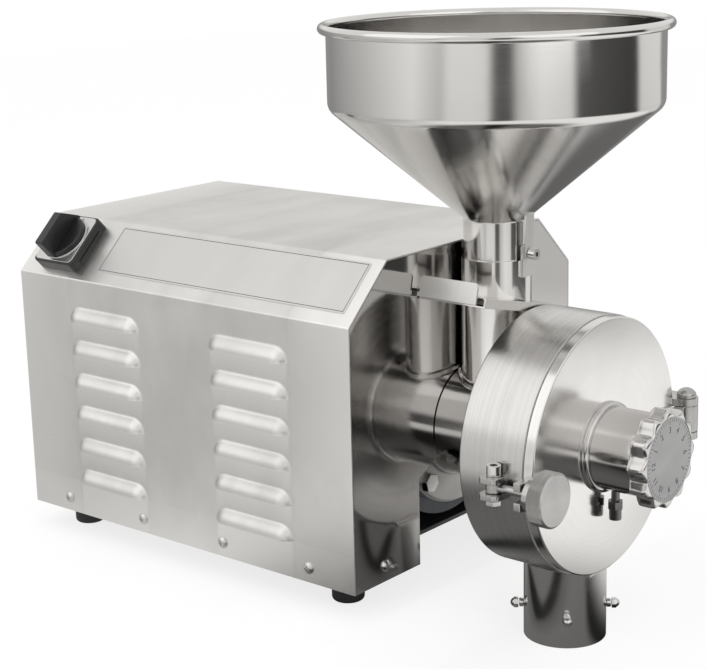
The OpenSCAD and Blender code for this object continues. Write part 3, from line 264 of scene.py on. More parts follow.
def rod(bm, start, end, radius, segments=48):
    """Adds a plain closed cylinder between two points."""
    start, end = Vector(start), Vector(end)
    length = (end - start).length
    turn = (end - start).to_track_quat("Z", "Y").to_matrix().to_4x4()
    bmesh.ops.create_cone(bm, cap_ends=True, segments=segments, radius1=radius, radius2=radius, depth=length,
                          matrix=Matrix.Translation((start + end) / 2) @ turn)


def weld_ripple(bm, start, end, radius, pitch):
    """Adds a row of overlapping drops, as a hand weld leaves them."""
    start, end = Vector(start), Vector(end)
    count = max(int((end - start).length / pitch), 1)
    for k in range(count + 1):
        spot = start.lerp(end, k / count)
        swell = 1 + 0.12 * sin(7.3 * k)
        bmesh.ops.create_icosphere(bm, subdivisions=2, radius=radius * swell, matrix=Matrix.Translation(spot))


def add_curve(bm, curve, place=Matrix()):
    """Adds a curve's mesh, turned and moved by a matrix."""
    holder = bpy.data.objects.new(curve.name, curve)
    mesh = bpy.data.meshes.new_from_object(holder)
    mesh.transform(place)
    take_in(bm, mesh)
    bpy.data.objects.remove(holder)


def sweep_ring(bm, points, radius):
    """Adds a closed tube along a closed line of points."""
    curve = bpy.data.curves.new("ring", "CURVE")
    curve.dimensions = "3D"
    spline = curve.splines.new("POLY")
    spline.points.add(len(points) - 1)
    for target, place in zip(spline.points, points):
        target.co = (*place, 1)
    spline.use_cyclic_u = True
    curve.bevel_depth = radius
    curve.bevel_resolution = 2
    add_curve(bm, curve)


def figure(bm, text, size, thickness, place):
    """Adds one printed figure; place turns its plane and sets its middle."""
    curve = bpy.data.curves.new("figure", "FONT")
    curve.body = text
    curve.size = size
    curve.extrude = thickness / 2
    curve.align_x = curve.align_y = "CENTER"
    add_curve(bm, curve, place)


# Shader node groups

def add(tree, kind, inputs=None, **settings):
    """Adds a shader node with its settings; inputs holds values or the sockets that feed it."""
    made = tree.nodes.new("ShaderNode" + kind)
    for key, value in settings.items():
        setattr(made, key, value)
    for key, value in (inputs or {}).items():
        if isinstance(value, bpy.types.NodeSocket):
            tree.links.new(value, made.inputs[key])
        else:
            made.inputs[key].default_value = value
    return made


def maths(tree, operation, first, second):
    """Output of a sum on two numbers or sockets."""
    return add(tree, "Math", {0: first, 1: second}, operation=operation).outputs[0]


def mix_value(tree, share, first, second):
    """Output between two values, by a share from 0 to 1."""
    return add(tree, "Mix", {"Factor": share, "A": first, "B": second}, data_type="FLOAT").outputs[0]


def mix_colour(tree, share, first, second):
    """Output between two colours, each three numbers or a socket."""
    first, second = (c if isinstance(c, bpy.types.NodeSocket) else (*c, 1) for c in (first, second))
    return add(tree, "Mix", {"Factor": share, 6: first, 7: second}, data_type="RGBA").outputs[2]


def spread_out(tree, value, start, end, low=0.0, high=1.0, curve="LINEAR"):
    """Output that runs from low to high while a value runs from start to end."""
    return add(tree, "MapRange", {"Value": value, "From Min": start, "From Max": end, "To Min": low,
               "To Max": high}, interpolation_type=curve).outputs[0]


def new_group(name, numbers, vector=True, result="NodeSocketFloat"):
    """Starts a shader group with one output; gives the group, its inputs and the output to fill."""
    group = bpy.data.node_groups.new(name, "ShaderNodeTree")
    if vector:
        group.interface.new_socket(name="Vector", in_out="INPUT", socket_type="NodeSocketVector")
    for label, default in numbers.items():
        socket = group.interface.new_socket(name=label, in_out="INPUT", socket_type="NodeSocketFloat")
        socket.default_value = default
    group.interface.new_socket(name="Result", in_out="OUTPUT", socket_type=result)
    return group, group.nodes.new("NodeGroupInput").outputs, group.nodes.new("NodeGroupOutput").inputs["Result"]


def round_about_x_group():
    """Turns a place into (along the X axis, distance from it), so that a pattern runs in rings."""
    group, given, result = new_group("rings about x", {}, result="NodeSocketVector")
    split = add(group, "SeparateXYZ", {0: given["Vector"]})
    flat = add(group, "CombineXYZ", {"X": split.outputs["Y"], "Y": split.outputs["Z"]})
    reach = add(group, "VectorMath", {0: flat.outputs[0]}, operation="LENGTH")
    joined = add(group, "CombineXYZ", {"X": split.outputs["X"], "Y": reach.outputs["Value"]})
    group.links.new(joined.outputs[0], result)
    return group


BROAD_LINES = 0.12


def tool_lines_group():
    """Fine lines left by a tool: values from 0 to 1 across a pattern place."""
    group, given, result = new_group("tool lines", {"Lines per metre": 3000.0})
    fine = add(group, "TexNoise", {"Vector": given["Vector"],
               "Scale": given["Lines per metre"], "Detail": 2.0}, noise_dimensions="2D")
    broad = add(group, "TexNoise", {"Vector": given["Vector"], "Detail": 3.0,
                "Scale": maths(group, "MULTIPLY", given["Lines per metre"], BROAD_LINES)},
                noise_dimensions="2D")
    both = mix_value(group, 0.35, fine.outputs["Fac"], broad.outputs["Fac"])
    group.links.new(both, result)
    return group


def smudge_group():
    """Cloudy wipe marks and faint handling marks: a mask from 0 to 1."""
    group, given, result = new_group("smudges", {"Scale": 14.0})
    cloud = add(group, "TexNoise", {"Vector": given["Vector"],
                "Scale": given["Scale"], "Detail": 5.0, "Roughness": 0.62, "Distortion": 0.8})
    wiped = add(group, "Mapping", {"Vector": given["Vector"],
                "Rotation": (0.3, 0.5, 0.2), "Scale": (3.0, 0.7, 1.6)})
    streak = add(group, "TexNoise", {"Vector": wiped.outputs[0],
                 "Scale": given["Scale"], "Detail": 4.0})
    both = maths(group, "ADD", cloud.outputs["Fac"], streak.outputs["Fac"])
    group.links.new(spread_out(group, both, 0.72, 1.28), result)
    return group


def grain_group():
    """Fine uneven grain of rolled or cast metal, and of moulded plastic: values from 0 to 1."""
    group, given, result = new_group("grain", {"Scale": 900.0})
    fine = add(group, "TexNoise", {"Vector": given["Vector"],
               "Scale": given["Scale"], "Detail": 3.0, "Roughness": 0.7})
    group.links.new(fine.outputs["Fac"], result)
    return group


FLAT_POINTINESS = 0.51


def edge_group():
    """Mask of the outer edges, for a painted highlight that makes a surface paler there."""
    group, given, result = new_group("rubbed edges", {"Spread": 0.08}, vector=False)
    shape = add(group, "NewGeometry")
    above = maths(group, "ADD", FLAT_POINTINESS, given["Spread"])
    mask = spread_out(group, shape.outputs["Pointiness"], FLAT_POINTINESS, above)
    group.links.new(mask, result)
    return group


RINGS = round_about_x_group()
LINES = tool_lines_group()
SMUDGES = smudge_group()
GRAIN = grain_group()
EDGES = edge_group()


def place_group(tree, group, inputs):
    """Places a shared group in a material; gives its output."""
    return add(tree, "Group", inputs, node_tree=group).outputs[0]


FINISHES = {}


def blank_material(name):
    """New material with its tree and its Principled shader."""
    made = bpy.data.materials.new(name.replace("_", " "))
    made.use_nodes = True
    return made, made.node_tree, made.node_tree.nodes["Principled BSDF"]


def metal(name, colour, rough, rough_span, pattern=None, centre=(0, 0, 0), turn=(0, 0, 0), lines=3000.0,
          line_depth=0.0, grain=900.0, grain_depth=0.0, wave=6.0, wave_depth=0.0, cloud=14.0, stain=0.06,
          line_tone=0.0, sheen=0.0):
    """Makes a bare metal with tool lines, grain, waviness, faint wipe marks and a painted highlight along its
    edges; depths are in metres.
    """
    made, tree, shader = blank_material(name)
    spot = add(tree, "TexCoord").outputs["Object"]
    centred = add(tree, "Mapping", {"Vector": spot, "Location": [-c * MM for c in centre]})
    where = add(tree, "Mapping", {"Vector": centred.outputs[0], "Rotation": turn}).outputs[0]
    if pattern == "rings":
        where = place_group(tree, RINGS, {"Vector": where})
    elif pattern == "strokes":
        where = add(tree, "Mapping", {"Vector": where, "Scale": (0.02, 1.0, 0.0)}).outputs[0]
    tool = place_group(tree, LINES, {"Vector": where, "Lines per metre": lines})
    fine = place_group(tree, GRAIN, {"Vector": spot, "Scale": grain})
    marks = place_group(tree, SMUDGES, {"Vector": spot, "Scale": cloud})
    edges = place_group(tree, EDGES, {"Spread": 0.1})
    wavy = add(tree, "TexNoise", {"Vector": spot, "Scale": wave, "Detail": 1.0})
    uneven = maths(tree, "MULTIPLY", tool if line_depth else fine, marks)
    tree.links.new(spread_out(tree, uneven, 0.0, 0.6, rough - rough_span, rough + rough_span),
                   shader.inputs["Roughness"])
    body = mix_colour(tree, marks, colour, [c * (1 - stain) for c in colour])
    # Painted highlight: the colour turns paler along the outer edges.
    bright = mix_colour(tree, edges, body, [min(c * 1.12, 0.95) for c in colour])
    tone = spread_out(tree, tool, 0.3, 0.7, 1 - line_tone, 1.0)
    tree.links.new(mix_colour(tree, tone, (0, 0, 0), bright), shader.inputs["Base Color"])
    shader.inputs["Metallic"].default_value = 1.0
    if sheen:
        shader.inputs["Anisotropic"].default_value = sheen
        shader.inputs["Anisotropic Rotation"].default_value = 0.25
        radial = add(tree, "Tangent", direction_type="RADIAL", axis="X")
        tree.links.new(radial.outputs[0], shader.inputs["Tangent"])
    normal = None
    for depth, source in ((wave_depth, wavy.outputs["Fac"]), (grain_depth, fine), (line_depth, tool)):
        if depth:
            inputs = {"Height": source, "Distance": depth, "Strength": 1.0}
            if normal:
                inputs["Normal"] = normal
            normal = add(tree, "Bump", inputs).outputs[0]
    if normal:
        tree.links.new(normal, shader.inputs["Normal"])
    FINISHES[name] = made


DULL_PATCHES = 0.15


def plain(name, colour, rough, rough_span, grain=900.0, grain_depth=0.0, highlit=0.1, metallic=0.0):
    """Makes paint, rubber, plastic or cast metal with grain, dull patches and a painted highlight along its
    edges.
    """
    made, tree, shader = blank_material(name)
    spot = add(tree, "TexCoord").outputs["Object"]
    fine = place_group(tree, GRAIN, {"Vector": spot, "Scale": grain})
    marks = place_group(tree, SMUDGES, {"Vector": spot, "Scale": 22.0})
    edges = place_group(tree, EDGES, {"Spread": 0.12})
    tree.links.new(spread_out(tree, marks, 0.0, 1.0, rough - rough_span, rough + rough_span),
                   shader.inputs["Roughness"])
    body = mix_colour(tree, marks, colour, [c * (1 - DULL_PATCHES) for c in colour])
    # Painted highlight: the colour turns paler along the outer edges.
    edge_lit = mix_colour(tree, edges, body, [c + (0.6 - c) * highlit for c in colour])
    tree.links.new(edge_lit, shader.inputs["Base Color"])
    shader.inputs["Metallic"].default_value = metallic
    if grain_depth:
        bump = add(tree, "Bump", {"Height": fine, "Distance": grain_depth, "Strength": 1.0})
        tree.links.new(bump.outputs[0], shader.inputs["Normal"])
    FINISHES[name] = made


# Finishes
STEEL = (0.70, 0.69, 0.675)
ON_SHAFT = {"pattern": "rings", "centre": shaft_line}
ON_FEED = {"pattern": "rings", "centre": feed_line, "turn": (0, pi / 2, 0)}
ON_OUTLET = {"pattern": "rings", "turn": (0, pi / 2, 0)}
DRAWN = {"lines": 1500.0, "line_depth": 0.000006, "wave": 18.0, "wave_depth": 0.0002}
metal("satin_sheet", (0.76, 0.75, 0.73), 0.36, 0.09, grain=700.0, grain_depth=0.00004, wave=5.0,
      wave_depth=0.0006, cloud=9.0, stain=0.17)
metal("mirror_sheet", (0.50, 0.49, 0.48), 0.08, 0.03, wave=9.0, wave_depth=0.0004, cloud=9.0)
metal("polished_steel", STEEL, 0.13, 0.04, **ON_SHAFT, **DRAWN)
metal("tube_steel", STEEL, 0.13, 0.04, **ON_FEED, **DRAWN)
metal("neck_steel", (0.56, 0.55, 0.54), 0.1, 0.03, **ON_SHAFT, **DRAWN)
metal("outlet_steel", STEEL, 0.16, 0.05, lines=1500.0, line_depth=0.000008, wave=18.0, wave_depth=0.0002,
      **ON_OUTLET)
metal("turned_steel", (0.72, 0.71, 0.695), 0.27, 0.05, lines=1700.0, line_depth=0.00003, wave=10.0,
      wave_depth=0.0002, line_tone=0.22, **ON_SHAFT)
metal("cover_steel", (0.78, 0.77, 0.755), 0.17, 0.04, lines=1300.0, line_depth=0.000008, wave=10.0,
      wave_depth=0.0002, line_tone=0.06, **ON_SHAFT)
metal("spun_steel", STEEL, 0.14, 0.04, lines=1800.0, line_depth=0.00001, wave=14.0, wave_depth=0.0004,
      cloud=10.0, **ON_FEED)
metal("nut_steel", (0.50, 0.495, 0.485), 0.25, 0.05, pattern="rings", centre=nut_line, lines=2600.0,
      line_depth=0.00001, line_tone=0.15, sheen=0.9)
metal("bolt_steel", (0.62, 0.61, 0.60), 0.17, 0.06, grain=1500.0, grain_depth=0.00001)
metal("dark_bolt", (0.16, 0.157, 0.153), 0.2, 0.06, grain=1500.0, grain_depth=0.00001)
metal("bracket_steel", (0.46, 0.455, 0.445), 0.24, 0.07, grain=1100.0, grain_depth=0.00002, cloud=30.0,
      stain=0.12)
metal("plate_alloy", (0.64, 0.635, 0.625), 0.34, 0.04, pattern="strokes", lines=2500.0, line_depth=0.000012)
plain("black_paint", (0.012, 0.012, 0.013), 0.42, 0.1, grain_depth=0.00003)
plain("motor_paint", (0.06, 0.075, 0.09), 0.4, 0.1, grain=500.0, grain_depth=0.00008)
plain("core_iron", (0.16, 0.16, 0.165), 0.5, 0.1, metallic=1.0, grain_depth=0.00004)
plain("disc_iron", (0.34, 0.34, 0.345), 0.38, 0.1, metallic=1.0, grain_depth=0.00004)
plain("copper", (0.72, 0.33, 0.16), 0.35, 0.1, metallic=1.0, grain_depth=0.00006)
plain("bronze", (0.62, 0.42, 0.2), 0.3, 0.08, metallic=1.0)
plain("black_rubber", (0.012, 0.012, 0.012), 0.62, 0.1, grain_depth=0.00005, highlit=0.04)
plain("brown_rubber", (0.09, 0.035, 0.02), 0.6, 0.1, grain_depth=0.00004, highlit=0.05)
plain("pale_rubber", (0.62, 0.61, 0.58), 0.55, 0.1, grain_depth=0.00004, highlit=0.05)
plain("black_plastic", (0.014, 0.014, 0.015), 0.34, 0.08, grain=1400.0, grain_depth=0.00002, highlit=0.06)
plain("flange_alloy", (0.62, 0.61, 0.59), 0.42, 0.1, metallic=0.9, grain=600.0, grain_depth=0.00006,
      highlit=0.2)
plain("dial_face", (0.50, 0.50, 0.50), 0.45, 0.05, metallic=0.3, highlit=0.1)
plain("ink", (0.03, 0.032, 0.036), 0.5, 0.05, highlit=0.0)


# Casing

LOUVRE_ROWS = 6
LOUVRE_PITCH = 26.4
LOUVRE_FIRST = 28
LOUVRE_SPREAD = 150
LOUVRE_L = 74
LOUVRE_R = 12
LOUVRE_PROUD = 6
LOUVRE_BLEND = 1.6
BEND_R = 2.2
SLOT_STEP = 0.05
LINE_STEP = 0.9
LOUVRE_MARGIN = 3
MIDDLE_STEP = 12
SLOT_MIN = 0.8
louvre_depth = LOUVRE_R - LOUVRE_PROUD
louvre_straight = LOUVRE_L / 2 - sqrt(LOUVRE_R ** 2 - louvre_depth ** 2)
louvre_xs = [(front_x + rear_x) / 2 + side * LOUVRE_SPREAD / 2 for side in (-1, 1)]
louvre_zs = [casing_foot + LOUVRE_FIRST + row * LOUVRE_PITCH for row in range(LOUVRE_ROWS)]


def blend_up(height):
    """Softens where a louvre leaves the wall."""
    return (height + sqrt(height * height + LOUVRE_BLEND ** 2)) / 2


def louvre_height(x, z):
    """How far a side wall stands out at a place on it."""
    tallest = 0
    for middle in louvre_xs:
        past = max(abs(x - middle) - louvre_straight, 0)
        for lip in louvre_zs:
            up = z - lip
            if -SLOT_STEP / 2 < up < LOUVRE_R + LOUVRE_MARGIN and past < LOUVRE_R + LOUVRE_MARGIN:
                away = sqrt(up * up + past * past)
                if away < LOUVRE_R:
                    raw = sqrt(LOUVRE_R ** 2 - away * away) - louvre_depth
                else:
                    raw = -louvre_depth - (away - LOUVRE_R)
                tallest = max(tallest, blend_up(raw) - blend_up(-louvre_depth))
    return tallest


def wall_heights():
    """Levels of the mesh lines on a side wall, close together over each louvre."""
    levels = [casing_foot]
    for lip in louvre_zs:
        levels += [lip - SLOT_STEP, lip] + [lip + LINE_STEP * k for k in range(1, 15)]
    return levels


def wall_stations():
    """Places of the mesh lines along the casing, close together at the louvres' ends."""
    stations = [rear_x, front_x]
    for middle in louvre_xs:
        stations += [middle + MIDDLE_STEP * k for k in (-1, 0, 1)]
        for side in (-1, 1):
            stations += [middle + side * (louvre_straight - LOUVRE_MARGIN + k) for k in range(18)]
    return sorted(stations)


def casing_sheet():
    """Folded casing with rounded bends and pressed louvres."""
    corners = [(-half_w, casing_foot), (-half_w, casing_top - SHOULDER_H),
               (-half_w + SHOULDER_W, casing_top), (half_w - SHOULDER_W, casing_top),
               (half_w, casing_top - SHOULDER_H), (half_w, casing_foot)]
    bends = fillet(corners, [0, BEND_R, BEND_R, BEND_R, BEND_R, 0], steps=4)[1:-1]
    outline = [(-half_w, z) for z in wall_heights()] + bends
    outline += [(half_w, z) for z in reversed(wall_heights())]
    bm = bmesh.new()
    _, edges = poly_line(bm, [(rear_x, y, z) for y, z in outline])
    stations = wall_stations()
    for here, there in zip(stations, stations[1:]):
        grown = bmesh.ops.extrude_edge_only(bm, edges=edges)["geom"]
        moved = new_verts(grown)
        edges = [e for e in new_edges(grown) if all(v in moved for v in e.verts)]
        bmesh.ops.translate(bm, vec=(there - here, 0, 0), verts=moved)
    bmesh.ops.recalc_face_normals(bm, faces=bm.faces)
    for vert in bm.verts:
        if abs(abs(vert.co.y) - half_w) < 0.001:
            out = 1 if vert.co.y > 0 else -1
            vert.co.y += out * louvre_height(vert.co.x, vert.co.z)
    slots = []
    for face in bm.faces:
        reaches = [abs(v.co.y) for v in face.verts]
        rise = max(v.co.z for v in face.verts) - min(v.co.z for v in face.verts)
        step_out = max(reaches) - min(reaches)
        if rise < 2 * SLOT_STEP and min(reaches) > half_w - 0.01 and step_out > SLOT_MIN:
            slots.append(face)
    bmesh.ops.delete(bm, geom=slots, context="FACES")
    bmesh.ops.solidify(bm, geom=bm.faces[:], thickness=SHEET)
    piece("casing_sheet", bm, "satin_sheet", "frame", ["casing_wrap"], sharp=50)


slope_angle = atan2(SHOULDER_H, SHOULDER_W)
slope_length = sqrt(SHOULDER_H ** 2 + SHOULDER_W ** 2)


def on_slope(x, along):
    """Matrix that places things on the sloped shoulder: X along the casing, Y up the slope, Z outwards."""
    return (Matrix.Translation((x, -half_w, casing_top - SHOULDER_H)) @ Matrix.Rotation(slope_angle, 4, "X")
            @ Matrix.Translation((0, along, 0)))


def round_plate(bm, width, length, radius, low, high, edge=0.0):
    """Adds a plate with round corners, centred on Z, between two levels."""
    corners = [(-width / 2, -length / 2), (width / 2, -length / 2), (width / 2, length / 2),
               (-width / 2, length / 2)]
    outline = fillet(corners, [radius] * 4, steps=6, closed=True)
    raised = raise_outline(bm, [(p.x, p.y, low) for p in outline], (0, 0, high - low))
    if edge:
        rim = [e for e in bm.edges if all(v in raised for v in e.verts)]
        bmesh.ops.bevel(bm, geom=rim, offset=edge, segments=3, profile=0.5, affect="EDGES", material=-1)


PLATE_SHARE = 0.74
PLATE_MIDDLE = 0.55
PLATE_T = 0.55


def shoulder_plate():
    """Bare plate on the shoulder with a thin printed border."""
    low, high = node_box("blank_plate")
    length = high.x - low.x
    height = PLATE_SHARE * slope_length
    middle = on_slope((low.x + high.x) / 2, PLATE_MIDDLE * slope_length)
    bm = bmesh.new()
    round_plate(bm, length, height, 2, 0, PLATE_T, edge=0.2)
    bm.transform(middle)
    piece("shoulder_plate", bm, "plate_alloy", "frame", ["blank_plate"])
    bm = bmesh.new()
    inset, line = 1.6, 0.45
    for side in (-1, 1):
        bar(bm, (0, side * (height / 2 - inset), PLATE_T), (length - 2 * inset + line, line, 0.06))
        bar(bm, (side * (length / 2 - inset), 0, PLATE_T), (line, height - 2 * inset - line - 0.02, 0.06))
    bm.transform(middle)
    piece("plate_border", bm, "ink", "frame")


# Switch

def switch():
    """Rotary switch: moulded body, bright plate with plain marks, turning handle."""
    middle = Vector([(a + b) / 2 for a, b in zip(*node_box("switch_plate"))])
    seat = on_slope(middle.x, slope_length / 2)
    body_w, body_h, body_t, face_t = 44, 46, 10, 0.9
    block_w, block_h, mark_size = 29, 33, 4.6
    bm = bmesh.new()
    round_plate(bm, body_w, body_h, 4, 0, body_t, edge=0.9)
    round_plate(bm, body_w + 3, body_h - 14, 3, 0, 4.2, edge=0.8)
    bar(bm, (0, 0, -0.5 - block_h / 2), (block_w, block_w, block_h))
    bm.transform(seat)
    piece("switch_case", bm, "black_plastic", "frame", ["switch_body"])
    bm = bmesh.new()
    round_plate(bm, body_w - 3, body_h - 3, 4, body_t, body_t + face_t, edge=0.35)
    spin(bm, fillet(sleeve(body_t + 0.5, body_t + 1.7, 14, 19.6), [0, 0, 0.5, 0], closed=True), AXIS_Z, ORIGIN,
         96)
    bm.transform(seat)
    piece("switch_face", bm, "plate_alloy", "frame", ["switch_plate"])
    bm = bmesh.new()
    for text, x, y in (("0", 6, 18.3), ("1", 17.2, 11.5)):
        figure(bm, text, mark_size, INK_T, Matrix.Translation((x, y, body_t + face_t)))
    bm.transform(seat)
    piece("switch_marks", bm, "ink", "frame")
    base_r, lift = 18.5, body_t + face_t + 1
    bm = bmesh.new()
    spin(bm, fillet([(lift, 0), (lift, base_r), (lift + 4, base_r), (lift + 4.6, 0)], [0, 0.4, 1.2, 0]),
         AXIS_Z, ORIGIN, 96, closed=False)
    bar_l, bar_w, bar_h = 40, 8, 19
    side_view = [(-bar_l / 2, lift + 0.6), (bar_l / 2, lift + 0.6), (bar_l / 2, lift + 3),
                 (bar_l / 4, lift + bar_h), (-bar_l / 2, lift + bar_h)]
    outline = fillet(side_view, [0.6, 0.6, 1.2, 2.2, 1.6], steps=4, closed=True)
    raise_outline(bm, [(-bar_w / 2, p.x, p.y) for p in outline], (bar_w, 0, 0))
    ease(bm, 0.6, 3, 60)
    bm.transform(seat)
    piece("switch_lever", bm, "black_plastic", "switch", ["switch_handle"])
    bm = bmesh.new()
    bar(bm, (0, bar_l / 4 - 4, lift + bar_h - 0.1), (3.2, 4.4, 0.3))
    bm.transform(seat)
    piece("lever_mark", bm, "ink", "switch")


# Barrel and feed

BARREL_BORE = BARREL_R - BARREL_WALL
FEED_BORE = feed_r - FEED_WALL
FLANGE_FACE = -94
FLANGE_BORE = 20
LEDGE_RISE = 111
LEDGE_T = 1.6
LEDGE_W = 2.2


def barrel():
    """Barrel with its motor flange."""
    bm = bmesh.new()
    stations = [FLANGE_FACE + 2 * k for k in range(int((drum_low.x - FLANGE_FACE) / 2) + 1)]
    profile = [(x, BARREL_R) for x in stations] + [(drum_low.x, BARREL_BORE), (FLANGE_FACE, BARREL_BORE)]
    spin(bm, profile, AXIS_X, shaft_line, 144)
    tube = piece("barrel_tube", bm, "polished_steel", "frame", ["barrel"])
    cutter = bmesh.new()
    rod(cutter, (feed_x, 0, shaft_z), (feed_x, 0, shaft_z + 60), FEED_BORE, 96)
    carve(tube, cutter)
    bm = bmesh.new()
    flange = sleeve(barrel_low.x, FLANGE_FACE, FLANGE_BORE, barrel_high.y)
    spin(bm, fillet(flange, [0, 1.0, 2.5, 0], closed=True), AXIS_X, shaft_line, 144)
    spin(bm, circle_points(FLANGE_FACE + 0.8, BARREL_R + 0.2, 2.0, 14), AXIS_X, shaft_line, 144)
    piece("barrel_flange", bm, "flange_alloy", "frame")


def barrel_welds():
    """Weld fillets of the barrel at the drum and round the feed tube's foot."""
    bm = bmesh.new()
    spin(bm, circle_points(drum_low.x - 1.4, BARREL_R + 0.1, 2.6, 14), AXIS_X, shaft_line, 144)
    sweep_ring(bm, [(feed_x + x * 1.01, y * 1.01, shaft_z + sqrt(BARREL_R ** 2 - y * y) + 0.2)
                    for x, y in circle_points(0, 0, feed_r, 96)], 2.8)
    piece("barrel_welds", bm, "polished_steel", "frame")


def feed_pipe():
    """Feed tube cut to the barrel, with a ledge for the spout and the gate's slot."""
    ledge_low, ledge_high = shaft_z + LEDGE_RISE, shaft_z + LEDGE_RISE + LEDGE_T
    ledge_r = FEED_BORE - LEDGE_W
    foot, foot_reach = shaft_z + 30, 30
    bm = bmesh.new()
    profile = [(foot, feed_r), (feed_top, feed_r), (feed_top, FEED_BORE), (ledge_high, FEED_BORE),
               (ledge_high, ledge_r), (ledge_low, ledge_r), (ledge_low, FEED_BORE), (foot, FEED_BORE)]
    spin(bm, profile, AXIS_Z, feed_line, 128)
    for vert in bm.verts:
        if vert.co.z < foot + 1:
            vert.co.z = shaft_z + sqrt((BARREL_R - 2) ** 2 - min(vert.co.y ** 2, foot_reach ** 2))
    pipe = piece("feed_pipe", bm, "tube_steel", "frame", ["feed_tube"])
    cutter = bmesh.new()
    length = 2 * feed_r
    bar(cutter, (0, GATE_REACH + GATE_END - length / 2, GATE_SLOT_H / 2), (GATE_SLOT_W, length, GATE_SLOT_H),
        on_gate)
    carve(pipe, cutter)


# Grinding head

def drum_shell():
    """Turned drum with a faint seam, a seal groove and the discharge hole."""
    x0, x1 = drum_low.x, drum_high.x
    seam, groove_out, groove_in, groove_deep = 2, drum_r - 0.8, drum_r - 2.8, 1.5
    inner = drum_r - DRUM_WALL
    corners = [(x0, BARREL_BORE), (x0, drum_r), (seam - 0.3, drum_r), (seam, drum_r - 0.12),
               (seam + 0.3, drum_r), (x1, drum_r), (x1, groove_out), (x1 - groove_deep, groove_out),
               (x1 - groove_deep, groove_in), (x1, groove_in), (x1, inner), (x0 + DRUM_BACK, inner),
               (x0 + DRUM_BACK, BARREL_BORE)]
    profile = fillet(corners, [0, 1.6, 0, 0, 0, 0.4, 0, 0, 0, 0, 0, 0, 0], steps=4, closed=True)
    bm = bmesh.new()
    spin(bm, profile, AXIS_X, shaft_line, 192)
    shell = piece("drum_shell", bm, "turned_steel", "frame", ["drum"])
    cutter = bmesh.new()
    rod(cutter, (0, 0, shaft_z - drum_r - 5), (0, 0, shaft_z - drum_r + 25), 21, 64)
    carve(shell, cutter)


OUTLET_WALL = 1.5
SOCK_NUT_TURN = 36
SOCK_NUT_Z = 23


def cap_nut(bm, seat):
    """Adds a stud, a washer, a hexagon nut and its dome; Z of the seat points outwards."""
    stud_r, washer_r, nut_r, dome_r, nut_top = 2, 3.2, 4, 3.3, 6.4
    cap = bmesh.new()
    spin(cap, fillet([(-1.4, 0), (-1.4, stud_r), (0.2, stud_r), (0.2, washer_r), (3.2, washer_r), (3.2, 0)],
                     [0, 0, 0, 0.3, 0.6, 0], steps=2), AXIS_Z, ORIGIN, 32, closed=False)
    bmesh.ops.create_cone(cap, cap_ends=True, segments=6, radius1=nut_r, radius2=nut_r, depth=3.4,
                          matrix=Matrix.Translation((0, 0, 5.5)))
    ease(cap, 0.35, 2, 50)
    dome = [(nut_top + 3.2 * sin(a * pi / 16), dome_r * cos(a * pi / 16)) for a in range(9)]
    spin(cap, [(nut_top, 0)] + dome, AXIS_Z, ORIGIN, 32, closed=False)
    cap.transform(seat)
    take_in(bm, closed_mesh("cap", cap))


def outlet_pipe():
    """Outlet tube cut to the drum, with a weld bead and cap nuts for the sock."""
    r = outlet_high.x
    bore = r - OUTLET_WALL
    top = shaft_z - drum_r
    bm = bmesh.new()
    spin(bm, fillet(sleeve(0, top, bore, r), [0.3, 0.3, 0, 0], steps=2, closed=True), AXIS_Z, ORIGIN, 144)
    for vert in bm.verts:
        if vert.co.z > top - 1 and abs(vert.co.x) < drum_high.x:
            vert.co.z = shaft_z - sqrt((drum_r - 1.5) ** 2 - vert.co.y ** 2)
    piece("outlet_pipe", bm, "outlet_steel", "frame", ["outlet_tube"])
    bm = bmesh.new()
    ring = []
    for x, y in circle_points(0, 0, r, 120):
        inset = min(1, (drum_high.x - 0.4) / max(abs(x), 0.001))
        ring.append((x * inset, y, shaft_z - sqrt(drum_r ** 2 - y * y) - 0.2))
    sweep_ring(bm, ring, 1.3)
    for side in (-1, 1):
        bar(bm, (side * (drum_high.x + 1.5), 0, top - 0.9), (5, 28, 1.6))
    piece("outlet_weld", bm, "outlet_steel", "frame")
    bm = bmesh.new()
    for k in range(4):
        cap_nut(bm, Matrix.Rotation(radians(SOCK_NUT_TURN + 90 * k), 4, "Z")
                @ Matrix.Translation((r, 0, SOCK_NUT_Z)) @ Matrix.Rotation(pi / 2, 4, "Y"))
    piece("sock_cap_nuts", bm, "bolt_steel", "frame", ["sock_screws"])


def cover():
    """Cover with its bright rim, neck with a weld ring."""
    face, r = cover_high.x, cover_high.y
    hole, step_r, step_x = 22.5, 88.5, 26.5
    bm = bmesh.new()
    corners = [(cover_low.x, hole), (cover_low.x, step_r), (step_x, step_r), (step_x, r), (face, r),
               (face, hole)]
    spin(bm, fillet(corners, [0, 0.4, 0, 0.4, 1.1, 0], steps=4, closed=True), AXIS_X, shaft_line, 192)
    piece("cover_plate", bm, "cover_steel", "cover", ["cover_disc"])
    bm = bmesh.new()
    neck_r, bore = 29.5, 22.05
    spin(bm, fillet(sleeve(neck_low.x, neck_high.x, bore, neck_r), [0, 0, 0.8, 0.3], steps=4, closed=True),
         AXIS_X, shaft_line, 144)
    spin(bm, circle_points(face + 1.5, neck_r + 0.3, 2.7, 18), AXIS_X, shaft_line, 144)
    piece("neck_tube", bm, "neck_steel", "cover", ["cover_neck"])
    bm = bmesh.new()
    fork_low, fork_high = node_box("cover_fork")
    arm_low, arm_high = node_box("hinge_knuckle")
    for z in (fork_high.z - 5.9, fork_low.z + 5.9):
        weld_ripple(bm, (face + 0.1, fork_high.y - 1, z), (face + 0.1, -r + 2, z), 1.0, 1.5)
    for z in (arm_low.z, arm_high.z):
        weld_ripple(bm, (face + 0.1, 71, z), (face + 0.1, r - 2, z), 1.0, 1.5)
    piece("cover_welds", bm, "bolt_steel", "cover")


# Knob

